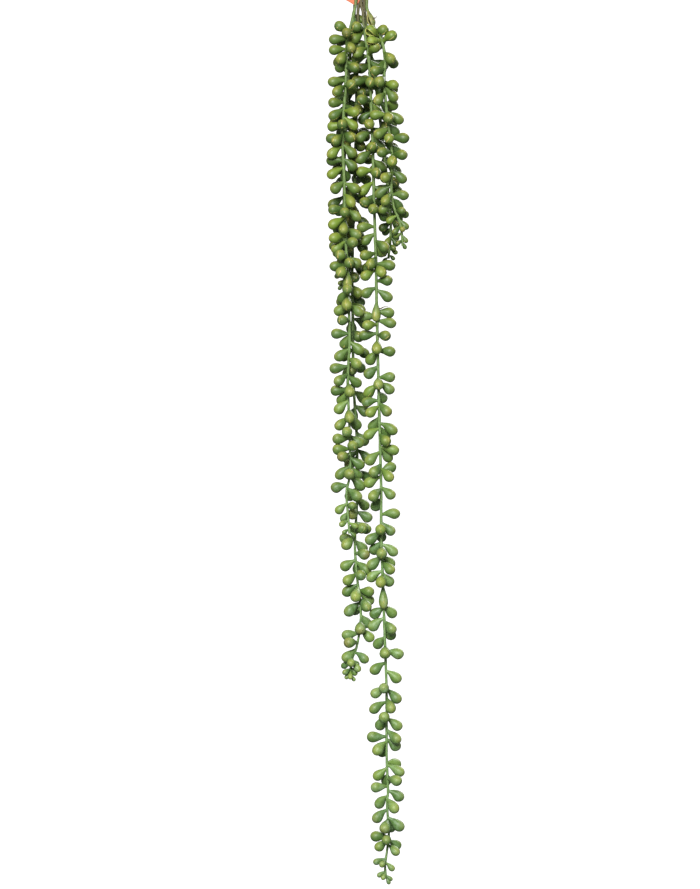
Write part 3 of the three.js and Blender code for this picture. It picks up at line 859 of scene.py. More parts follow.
@dataclass
class Hanger:
    """A hook on a small hub, and three wires from the hub to the pot's rim."""

    pot: Pot
    hook_inside: float = 0.013
    hook_wire: float = 0.0018
    hook_sides: int = 16
    shank: Sequence[tuple[float, float]] = ((0.0, -0.044), (-0.0015, -0.035))
    hook_turns: Sequence[int] = (232, *range(205, -21, -25), -40)
    hub_top: float = -0.058
    hub_thickness: float = 0.004
    hub_radius: float = 0.0105
    hub_wire_radius: float = 0.006
    hub_sides: int = 48
    wire: float = 0.0011
    wire_sides: int = 10
    head: float = 0.0024
    bend_steps: int = 6
    end_ease: Sequence[float] = (0.55, 0.9, 1.0)

    def __post_init__(self) -> None:
        """Makes the finish that the hook and the wires share."""
        self.finish = WireFinish().material()

    def bent_wire(
        self, points: Sequence[Vector], radius: float, sides: int, name: str
    ) -> bpy.types.Object:
        """Bends a round wire along points.

        Args:
            points: The wire's centre line.
            radius: The wire's radius.
            sides: How many sides its section has.
            name: The piece's name.

        Returns:
            The wire, with rounded ends.
        """
        line = smooth_line(points, self.bend_steps)
        from_end = [min(i, len(line) - 1 - i, len(self.end_ease) - 1) for i in range(len(line))]
        width = [radius * self.end_ease[step] for step in from_end]
        return rod(line, sides, name, self.finish, width=width)

    def hook_points(self) -> list[Vector]:
        """Returns the hook's centre line, from inside the hub up its shank and round."""
        radius = self.hook_inside + self.hook_wire
        line = [(0.0, self.hub_top - self.hub_thickness / 2), *self.shank]
        for degrees in self.hook_turns:
            turn = math.radians(degrees)
            line.append((radius * math.cos(turn), radius * math.sin(turn) - self.hook_inside))
        return [Vector((x, 0.0, z)) for x, z in line]

    def hub_profile(self) -> Profile:
        """Returns the hub's section from the axis and back to it, with eased edges."""
        top, under, radius = self.hub_top, self.hub_top - self.hub_thickness, self.hub_radius
        return [
            (0.0, under),
            (radius - 0.001, under),
            (radius - 0.0002, under + 0.0003),
            (radius, under + 0.001),
            (radius, top - 0.001),
            (radius - 0.0002, top - 0.0003),
            (radius - 0.001, top),
            (0.0, top),
        ]

    def wire_points(self, turn: float) -> list[Vector]:
        """Returns a wire's centre line, from above the hub to its hooked end in the rim."""
        rim, wall = self.pot.rim_radius, self.pot.wall
        hole = self.pot.top - self.pot.hole_drop
        under = self.hub_top - self.hub_thickness
        stations = [
            (self.hub_wire_radius, self.hub_top + 0.0004),
            (self.hub_wire_radius, under - 0.001),
            (self.hub_wire_radius + 0.0022, under - 0.007),
            (0.034, -0.129),
            (rim + 0.0026, self.pot.top + 0.006),
            (rim + 0.0040, hole + 0.005),
            (rim + 0.0030, hole + 0.001),
            (rim, hole),
            (rim - wall, hole),
            (rim - wall - 0.0032, hole + 0.0006),
            (rim - wall - 0.0048, hole + 0.0034),
            (rim - wall - 0.0050, hole + 0.007),
        ]
        outwards = Vector((math.cos(math.radians(turn)), math.sin(math.radians(turn)), 0.0))
        return [outwards * radius + UP * z for radius, z in stations]

    def wire_head(self, turn: float) -> bpy.types.Object:
        """Returns the ball that a wire ends in above the hub."""
        work = bmesh.new()
        place = Matrix.Translation(self.wire_points(turn)[0] + UP * self.head)
        size = {"u_segments": 16, "v_segments": 10, "radius": self.head}
        bmesh.ops.create_uvsphere(work, matrix=place, **size)
        return shown(work, "wire_head")

    def build(self) -> None:
        """Makes the hook with its hub, and the three wires with their heads."""
        hook = self.bent_wire(self.hook_points(), self.hook_wire, self.hook_sides, "steel_hook")
        hub = turned_body(self.hub_profile(), self.hub_sides, "hub")
        hub.data.set_sharp_from_angle(angle=SHARP_FROM)
        pieces = {"hanger_hook": merged(hook, hub)}
        for node, turn in HANGER_TURNS.items():
            points, name = self.wire_points(turn), "coated_" + node
            wire = self.bent_wire(points, self.wire, self.wire_sides, name)
            pieces[node] = merged(wire, self.wire_head(turn))
        for node, piece in pieces.items():
            dress(piece, self.finish)
            place_piece(piece, "hanger_steel", node)


# ---- strands, in millimetres until they are built ----
class Side(Enum):
    """The side of the stem that a leaf grows to, in degrees; N is away from the viewer."""

    E = 0.0
    K = 45.0
    N = 90.0
    D = 135.0
    W = 180.0
    Q = 225.0
    S = 270.0
    P = 315.0


class Row(Enum):
    """The row of the bundle that a strand hangs in, as its sign on the Y axis."""

    FRONT = -1
    BACK = 1


@dataclass(frozen=True)
class Habit:
    """How a leaf leaves its stem: its side and its fall in degrees, and how slim it is."""

    side: float
    fall: float
    slim: float = 1.0
    hugging: bool = False


SPECIAL_HABITS = {
    "V": Habit(270.0, 80.0, 0.62, True),
    "1": Habit(200.0, -26.0),
    "2": Habit(-20.0, -26.0),
}
DROOPING = 38.0
LEVEL = 7.0
TURNS = (0, 18, -18, 36, -36, 56, -56, 78, -78)
TILTS = (0, 14, -16)

# Balls that fill a leaf, as shares of its length and of its greatest radius.
LEAF_BALLS = ((0.26, 0.46), (0.46, 0.8), (0.68, 1.06), (0.86, 0.8))

# A stem's way out of the soil and over the rim: in from the rim's edge, and up from its top.
POT_TOP = round(Pot.top / MM, 3)
RIM_EDGE = -round(Pot.rim_radius / MM, 3)
OVER_RIM = (
    (24, -40), (24, -20), (23.5, -9), (18, 0.5), (10, 3), (2.5, 2.6), (-1.8, 1), (-3.6, -4),
    (-4.2, -14),
)

# Its way into the bundle: the share of its root's X, its distance from the bundle's middle towards
# its row, and its drop below the pot's top.
INTO_BUNDLE = ((1.0, 1.2, 32), (0.95, 2.2, 65))

# Leaves are young below this drop under the bundle, and fully aged this much higher; the same
# stretch darkens leaves and stems, partly as painted shade.
YOUNG_BELOW = 720.0
AGEING_STRETCH = 520.0

Whorls = list[tuple[float, str]]
Route = list[tuple[float, float, float]]


def habit_of(letter: str) -> Habit:
    """Returns the habit of a whorl's letter: a side droops as a capital and is level if small."""
    if letter in SPECIAL_HABITS:
        return SPECIAL_HABITS[letter]
    return Habit(Side[letter.upper()].value, DROOPING if letter.isupper() else LEVEL)


def heading(side: float, fall: float) -> Vector:
    """Returns the direction of a leaf from its side and its fall in degrees."""
    a, f = math.radians(side), math.radians(fall)
    return Vector((math.cos(a) * math.cos(f), math.sin(a) * math.cos(f), -math.sin(f)))


def share_of(value: float) -> float:
    """Returns a value kept from 0 to 1."""
    return min(max(value, 0.0), 1.0)


def oldness(down: float) -> float:
    """Returns 1 on a strand's upper stretch, easing to 0 on its young end, at a drop."""
    return share_of((YOUNG_BELOW - down) / AGEING_STRETCH)


class Draw:
    """A repeatable random source."""

    def __init__(self, seed: int) -> None:
        """Starts from a seed."""
        self.state = seed

    def share(self) -> float:
        """Returns a number from 0 to 1."""
        self.state = (self.state * 1664525 + 1013904223) % 4294967296
        return self.state / 4294967296

    def off(self, size: float) -> float:
        """Returns a number from -size to size."""
        return (self.share() * 2 - 1) * size


@dataclass
class Ball:
    """A ball that a leaf or a stem fills, and the strand that it belongs to."""

    centre: Vector
    radius: float
    owner: str


@dataclass
class Leaf:
    """One leaf, from the middle of its stem to its end, in millimetres."""

    root: Vector
    direction: Vector
    length: float
    radius: float
    down: float
    fullness: float = 1.0
    hugging: bool = False

    def balls(self, owner: str) -> list[Ball]:
        """Returns the balls that fill the leaf."""
        return [
            Ball(self.root + self.direction * (self.length * along), self.radius * size, owner)
            for along, size in LEAF_BALLS
        ]


@dataclass(frozen=True)
class Burst:
    """How a burst leaf grows, and where round its girth it is open, in millimetres and degrees."""

    down: float
    side: float
    fall: float
    length: float
    radius: float
    opening: float
    gape: float
    withered: bool = False


@dataclass
class Strand:
    """One hanging stem with its leaves; its routes are across, down and deep from the bundle."""

    name: str
    seed: int
    root_x: float
    row: Row
    route: Route
    whorls: Whorls
    more: Whorls = field(default_factory=list)
    brown_down_to: float = 30.0
    # Painted shade darkens this strand's leaves down to this drop under the bundle.
    shaded_down_to: float = -100.0
    burst: list[Burst] = field(default_factory=list)
    twigs: list[Route] = field(default_factory=list)
    bundle_z: float = -320.0
    bundle_y: float = -66.0
    stem_radius: float = 1.45
    tip_radius: float = 0.95
    line_steps: int = 12
    sharpest_bend: float = math.radians(16)
    longest_step: float = 40.0
    leaf_length: float = 20.0
    leaf_radius: float = 5.55
    bud_scale: float = 0.4
    taper_length: float = 62.0
    whorl_step: float = 2.2
    side_spread: float = 13.0
    fall_spread: float = 8.0
    length_spread: float = 0.08
    reach: float = 50.0
    gap: float = 0.45

    def hung(self, route: Route) -> list[Vector]:
        """Returns the points of a route."""
        y, z = self.bundle_y, self.bundle_z
        return [Vector((across, y + deep, z - down)) for across, down, deep in route]

    def centre_line(self) -> list[Vector]:
        """Returns the stem's centre line, from its root in the soil to its tip."""
        x, y, side = self.root_x, self.bundle_y, self.row.value
        over = [Vector((x, RIM_EDGE + inward, POT_TOP + up)) for inward, up in OVER_RIM]
        closing = [
            Vector((x * share, y + side * apart, POT_TOP - drop))
            for share, apart, drop in INTO_BUNDLE
        ]
        return smooth_line([*over, *closing, *self.hung(self.route)], self.line_steps)

    def axis(self, line: list[Vector]) -> list[Vector]:
        """Thins a line to the few points that its bends and longest steps need.

        Args:
            line: The stem's centre line.

        Returns:
            The points that stay.
        """
        kept = [line[0]]
        course = line[1] - line[0]
        for here, after in zip(line[1:-1], line[2:]):
            turned = course.angle(after - here) > self.sharpest_bend
            if turned or (here - kept[-1]).length > self.longest_step:
                kept.append(here)
                course = after - here
        return [*kept, line[-1]]

    def point_at(self, line: list[Vector], down: float) -> Vector:
        """Finds a point of a line.

        Args:
            line: The stem's centre line or its axis.
            down: The point's drop below the bundle.

        Returns:
            The point.
        """
        z = self.bundle_z - down
        low = len(line) - 1
        while low > 1 and line[low - 1].z < z:
            low -= 1
        above, below = line[low - 1], line[low]
        return above.lerp(below, share_of((above.z - z) / (above.z - below.z)))

    def leaves(self, whorls: Whorls, seed: int, stems: list[Ball], taken: list[Ball]) -> list[Leaf]:
        """Grows leaves in order, each turned and tilted until it hangs clear, or left out.

        Args:
            whorls: Where the leaves sit and how they hang.
            seed: The start of their small differences.
            stems: The balls of every stem.
            taken: The balls of the leaves so far; the new ones are added to it.

        Returns:
            The leaves that found room.
        """
        draw = Draw(seed)
        line = self.centre_line()
        axis = self.axis(line)
        tip = self.bundle_z - axis[-1].z
        foreign = [ball for ball in stems if ball.owner != self.name]
        grown: list[Leaf] = []
        for top, letters in whorls:
            for i, letter in enumerate(letters):
                habit = habit_of(letter)
                down = min(top + i * self.whorl_step, tip - 1)
                ripe_and_lit = (1 - self.bud_scale) * (tip - down) / self.taper_length
                full = min(self.bud_scale + ripe_and_lit, 1)
                length = self.leaf_length * full * (1 + draw.off(self.length_spread))
                side = habit.side + draw.off(self.side_spread)
                fall = habit.fall + draw.off(self.fall_spread)
                radius = self.leaf_radius * full * (0.85 + 0.15 * full) * habit.slim
                root, way = self.point_at(axis, down), heading(side, fall)
                leaf = Leaf(root, way, length, radius, down, full, habit.hugging)
                near = [b for b in (*foreign, *taken) if abs(b.centre.z - root.z) < self.reach]
                if self.turned_clear(leaf, side, fall, near):
                    taken.extend(leaf.balls(self.name)[1:])
                    leaf.root = self.point_at(line, down)
                    grown.append(leaf)
        return grown

    def turned_clear(self, leaf: Leaf, side: float, fall: float, near: list[Ball]) -> bool:
        """Turns and tilts a leaf until it touches nothing; a hugging leaf is only tilted.

        Args:
            leaf: The leaf, which gets its direction here.
            side: The compass side to start from, in degrees.
            fall: Its fall to start from, in degrees.
            near: What the leaves near it and the other strands' stems fill.

        Returns:
            Whether it found room.
        """
        others = [ball for ball in near if ball.owner != self.name]
        own = [ball for ball in near if ball.owner == self.name]
        for tilt in TILTS:
            for turn in TURNS[:1] if leaf.hugging else TURNS:
                leaf.direction = heading(side + turn, fall + tilt)
                balls = leaf.balls(self.name)
                if not self.touch(balls, others) and not self.touch(balls[1:], own):
                    return True
        return False

    def touch(self, balls: list[Ball], solids: list[Ball]) -> bool:
        """Tells whether any ball comes within the gap of a solid."""
        return any(
            (b.centre - s.centre).length < b.radius + s.radius + self.gap
            for b in balls
            for s in solids
        )

    def burst_leaf(self, burst: Burst) -> Leaf:
        """Returns the leaf that has burst."""
        root = self.point_at(self.centre_line(), burst.down)
        return Leaf(root, heading(burst.side, burst.fall), burst.length, burst.radius, burst.down)


@dataclass
class StrandPainter:
    """Turns a strand's leaves and stem into finished pieces."""

    strand: Strand
    leaf_material: bpy.types.Material
    stem_material: bpy.types.Material
    torn_materials: dict[bool, bpy.types.Material]
    slot: str
    # Leaves: sizes against the plan, and the buds' closing by their fullness.
    leaf_sides: int = 16
    leaf_rings: int = 11
    weld: float = 0.00004
    young_growth: float = 1.05
    old_loss: float = 0.02
    hugging_length: float = 1.3
    hugging_girth: float = 1.5
    plumpness: float = 0.06
    girth_spread: float = 0.05
    arch: float = 0.05
    arch_spread: float = 0.07
    closing_under: float = 0.85
    closing: float = 1.1
    # The painted shade of back leaves fades out over this drop.
    shade_fade: float = 120.0
    # Stems and twigs, in millimetres or as shares of a radius.
    stem_sides: int = 10
    stem_swell: float = 1.17
    tip_swell: float = 0.18
    joint_swell: float = 0.22
    joint_reach: float = 2.2
    brown_fade: float = 50.0
    twig_radius: float = 1.1
    twig_thinning: float = 0.8
    # Burst leaves: the wall in metres, the rest as shares, and the rag in degrees.
    shell_columns: int = 28
    shell_wall: float = 0.0009
    inner_depth: float = 0.0005
    shell_swell: float = 1.14
    shell_end: float = 0.995
    widest_tear: float = 0.8
    ragged: float = 2.0
    # Girth along a leaf, as shares of its length and of its greatest girth.
    leaf_profile: tuple[tuple[float, float], ...] = (
        (0.0, 0.22),
        (0.12, 0.3),
        (0.22, 0.42),
        (0.32, 0.58),
        (0.45, 0.79),
        (0.57, 0.93),
        (0.7, 1.0),
        (0.8, 0.95),
        (0.9, 0.76),
        (0.97, 0.45),
        (1.0, 0.0),
    )

    def bud_way(self, leaf: Leaf) -> Vector:
        """Returns a leaf's direction; the buds at a strand's end close down along it."""
        closed = max(self.closing_under - leaf.fullness, 0.0) * self.closing
        return leaf.direction.lerp(-UP, closed).normalized()

    def vigour(self, leaf: Leaf, hugging: float) -> float:
        """Returns how much larger a leaf is than its plan: more on young growth or on the stem."""
        return hugging if leaf.hugging else self.young_growth - self.old_loss * oldness(leaf.down)

    def leaf_points(self, leaves: list[Leaf]) -> bpy.types.Mesh:
        """Makes a point for each leaf.

        Args:
            leaves: The strand's leaves.

        Returns:
            The points, which carry each leaf's direction, size and colouring.
        """
        draw = Draw(self.strand.seed + 1000)
        # Painted shade: each leaf's share of the darkening for back leaves that hang behind others.
        shade_level = self.strand.shaded_down_to + self.shade_fade / 2
        mesh = bpy.data.meshes.new(self.strand.name + "_leaf_points")
        mesh.from_pydata([leaf.root * MM for leaf in leaves], [], [])
        lengths = [leaf.length * MM for leaf in leaves]
        swollen = [self.vigour(leaf, self.hugging_girth) + self.plumpness for leaf in leaves]
        numbers = {
            "length": [
                length * self.vigour(leaf, self.hugging_length)
                for length, leaf in zip(lengths, leaves)
            ],
            "girth": [
                leaf.radius * MM * (swell + draw.off(self.girth_spread))
                for swell, leaf in zip(swollen, leaves)
            ],
            "arch": [length * (self.arch + draw.off(self.arch_spread)) for length in lengths],
            "tint": [draw.share() for _ in leaves],
            "bloom": [min(leaf.down / 900 + 0.1, 1) * draw.share() ** 0.7 for leaf in leaves],
            "blush": [max(draw.share() * 8 - 7.2, 0.0) for _ in leaves],
            "twist": [draw.off(1.0) for _ in leaves],
            "old": [oldness(leaf.down) for leaf in leaves],
            "shade_level": [share_of((shade_level - leaf.down) / self.shade_fade) for leaf in leaves],
        }
        carry(mesh, numbers)
        ways = [part for leaf in leaves for part in self.bud_way(leaf)]
        mesh.attributes.new("way", "FLOAT_VECTOR", "POINT").data.foreach_set("vector", ways)
        return mesh

    def leaf_piece(self, leaves: list[Leaf]) -> None:
        """Makes the strand's leaves as one piece, a bent and swollen rod at each point.

        Args:
            leaves: The strand's leaves.
        """
        sizes = {"Sides": self.leaf_sides, "Rings": self.leaf_rings, "Weld": self.weld}
        shape = Shape("teardrop_leaves", sizes)
        here = shape.node("GeometryNodeInputPosition")
        rooted = shape.stored(shape.given, "root", here, "FLOAT_VECTOR")
        line = shape.node("GeometryNodeCurvePrimitiveLine", {"End": tuple(UP)})
        rings = shape.node("GeometryNodeResampleCurve", {0: line, "Count": shape.size("Rings")})
        at_points = {"Points": rooted, "Instance": rings}
        copies = shape.node("GeometryNodeInstanceOnPoints", at_points)
        axes = shape.node("GeometryNodeRealizeInstances", {0: copies})
        step = shape.node("GeometryNodeSplineParameter", give="Factor")
        axes = shape.stored(axes, "along", shape.math("SINE", step * (math.pi / 2)))
        share = shape.carried("along")
        way = shape.carried("way", "FLOAT_VECTOR")
        flank = shape.vector("NORMALIZE", shape.vector("CROSS_PRODUCT", way, tuple(UP)))
        crest = shape.vector("CROSS_PRODUCT", flank, way)
        reach = shape.scaled(way, shape.carried("length") * share)
        rise = shape.scaled(crest, share * (1.0 - share) * 4.0 * shape.carried("arch"))
        spot = shape.vector("ADD", shape.carried("root", "FLOAT_VECTOR"), reach)
        moved = {"Geometry": axes, "Position": shape.vector("ADD", spot, rise)}
        bent = shape.node("GeometryNodeSetPosition", moved)
        level = shape.node("GeometryNodeSetCurveNormal", {0: bent}, mode="MINIMUM_TWIST")
        swell = shape.node("ShaderNodeFloatCurve", {"Value": share}, stops=self.leaf_profile)
        skin = shape.skin(level, swell * shape.carried("girth"))
        welded = {0: skin, "Distance": shape.size("Weld")}
        closed = shape.node("GeometryNodeMergeByDistance", welded)
        smooth = shape.node("GeometryNodeSetShadeSmooth", {0: closed})
        outwards = shape.node("GeometryNodeInputNormal", give="Normal")
        sideways = shape.stored(smooth, "flank", shape.vector("DOT_PRODUCT", outwards, flank))
        skyward = shape.stored(sideways, "crown", shape.vector("DOT_PRODUCT", outwards, crest))
        name = self.strand.name + "_leaves"
        made = shape.grown(self.leaf_points(leaves), name, skyward, self.leaf_material)
        place_piece(made, self.slot, self.strand.name)

    def girth_at(self, share: float) -> float:
        """Reads the leaf's profile.

        Args:
            share: A share of the leaf's length.

        Returns:
            The girth there, as a share of the greatest.
        """
        for (low, start), (high, stop) in zip(self.leaf_profile, self.leaf_profile[1:]):
            if share <= high:
                return start + (stop - start) * (share - low) / (high - low)
        return 0.0

    def shell(self, burst: Burst, leaf: Leaf, name: str) -> bpy.types.Object:
        """Makes the bare skin of a burst leaf.

        Args:
            burst: Where it is open.
            leaf: The leaf that it is.
            name: The piece's name.

        Returns:
            The skin, open along one side, with a lip that is marked as torn.
        """
        flank = leaf.direction.cross(UP).normalized()
        crest = flank.cross(leaf.direction)
        toward_viewer = 1.0 if flank.y < 0 else -1.0
        draw = Draw(int(leaf.down))
        last = self.shell_columns
        work = bmesh.new()
        lip = work.verts.layers.float.new("lip")
        rows = []
        for share in (*(place for place, _ in self.leaf_profile[:-1]), self.shell_end):
            opened = math.sin(math.pi * min(share / self.widest_tear, 1.0) ** 1.6 * 0.5)
            gape = burst.gape * opened + draw.off(self.ragged)
            swell = leaf.radius * self.shell_swell * self.girth_at(share)
            middle = leaf.root + leaf.direction * (leaf.length * share)
            row = []
            for step in range(last + 1):
                turn = math.radians(burst.opening + gape + (360 - 2 * gape) * step / last)
                side = crest * math.cos(turn) + flank * (math.sin(turn) * toward_viewer)
                corner = work.verts.new((middle + side * swell) * MM)
                corner[lip] = max(1.0 - min(step, last - step) / 2, 0.0)
                row.append(corner)
            rows.append(row)
        for upper, lower in zip(rows, rows[1:]):
            for i in range(last):
                work.faces.new((upper[i], upper[i + 1], lower[i + 1], lower[i]))
        bmesh.ops.recalc_face_normals(work, faces=work.faces)
        return shown(work, name)

    def inner_mark(self, place: Vector, leaf: Leaf) -> float:
        """Tells the inside of a burst leaf's wall from its outside.

        Args:
            place: A point of the wall, in metres.
            leaf: The leaf.

        Returns:
            1 for a point on the inside and 0 for one on the outside.
        """
        along = share_of((place / MM - leaf.root).dot(leaf.direction) / leaf.length)
        middle = (leaf.root + leaf.direction * (leaf.length * along)) * MM
        outer = leaf.radius * self.shell_swell * self.girth_at(along) * MM
        return 1.0 if (place - middle).length < outer - self.inner_depth else 0.0

    def burst_pieces(self) -> None:
        """Makes the leaves that have burst, each a thin hollow shell with a torn lip."""
        for number, burst in enumerate(self.strand.burst, 1):
            name = f"{self.strand.name}_burst_leaf_{number}"
            leaf = self.strand.burst_leaf(burst)
            shell = self.shell(burst, leaf, name)
            wall = shell.modifiers.new("wall", "SOLIDIFY")
            wall.thickness, wall.offset = self.shell_wall, -1.0
            mesh = evaluated(shell)
            carry(mesh, {"inner": [self.inner_mark(spot.co, leaf) for spot in mesh.vertices]})
            made = added(mesh, name)
            dress(made, self.torn_materials[burst.withered])
            place_piece(made, self.slot)

    def stem_piece(self, leaves: list[Leaf]) -> None:
        """Makes the stem, thicker at each joint and browner where it is bare.

        Args:
            leaves: The strand's leaves, which sit at its joints.
        """
        strand = self.strand
        line = strand.centre_line()
        tip = strand.bundle_z - line[-1].z
        brown = strand.brown_down_to + self.brown_fade / 2
        width, age, old = [], [], []
        for point in line:
            down = strand.bundle_z - point.z
            thin = share_of(down / tip) ** 2
            near = min((point - leaf.root).length for leaf in leaves)
            joint = self.joint_swell * math.exp(-((near / self.joint_reach) ** 2))
            radius = strand.stem_radius + (strand.tip_radius - strand.stem_radius) * thin
            width.append(radius * (self.stem_swell + self.tip_swell * thin + joint) * MM)
            age.append(share_of((brown - down) / self.brown_fade))
            old.append(oldness(down))
        self.rod_piece(line, strand.name + "_stem", width=width, age=age, old=old)

    def twig_pieces(self) -> None:
        """Makes the dry twigs, each thinning towards its end."""
        for number, twig in enumerate(self.strand.twigs, 1):
            line = smooth_line(self.strand.hung(twig), 4)
            last = len(line) - 1
            left = [1.0 - self.twig_thinning * i / last for i in range(last + 1)]
            width = [self.twig_radius * share * MM for share in left]
            full = [1.0] * (last + 1)
            name = f"{self.strand.name}_dry_twig_{number}"
            self.rod_piece(line, name, width=width, age=full, old=full)

    def rod_piece(self, line: list[Vector], name: str, **numbers: Sequence[float]) -> None:
        """Makes a round piece of stem along a line.

        Args:
            line: Its centre line.
            name: The piece's name.
            **numbers: Its width, age, and old share at each point, which darkens it up the strand,
                       partly as painted shade.
        """
        metres = [point * MM for point in line]
        made = rod(metres, self.stem_sides, name, self.stem_material, **numbers)
        place_piece(made, self.slot)


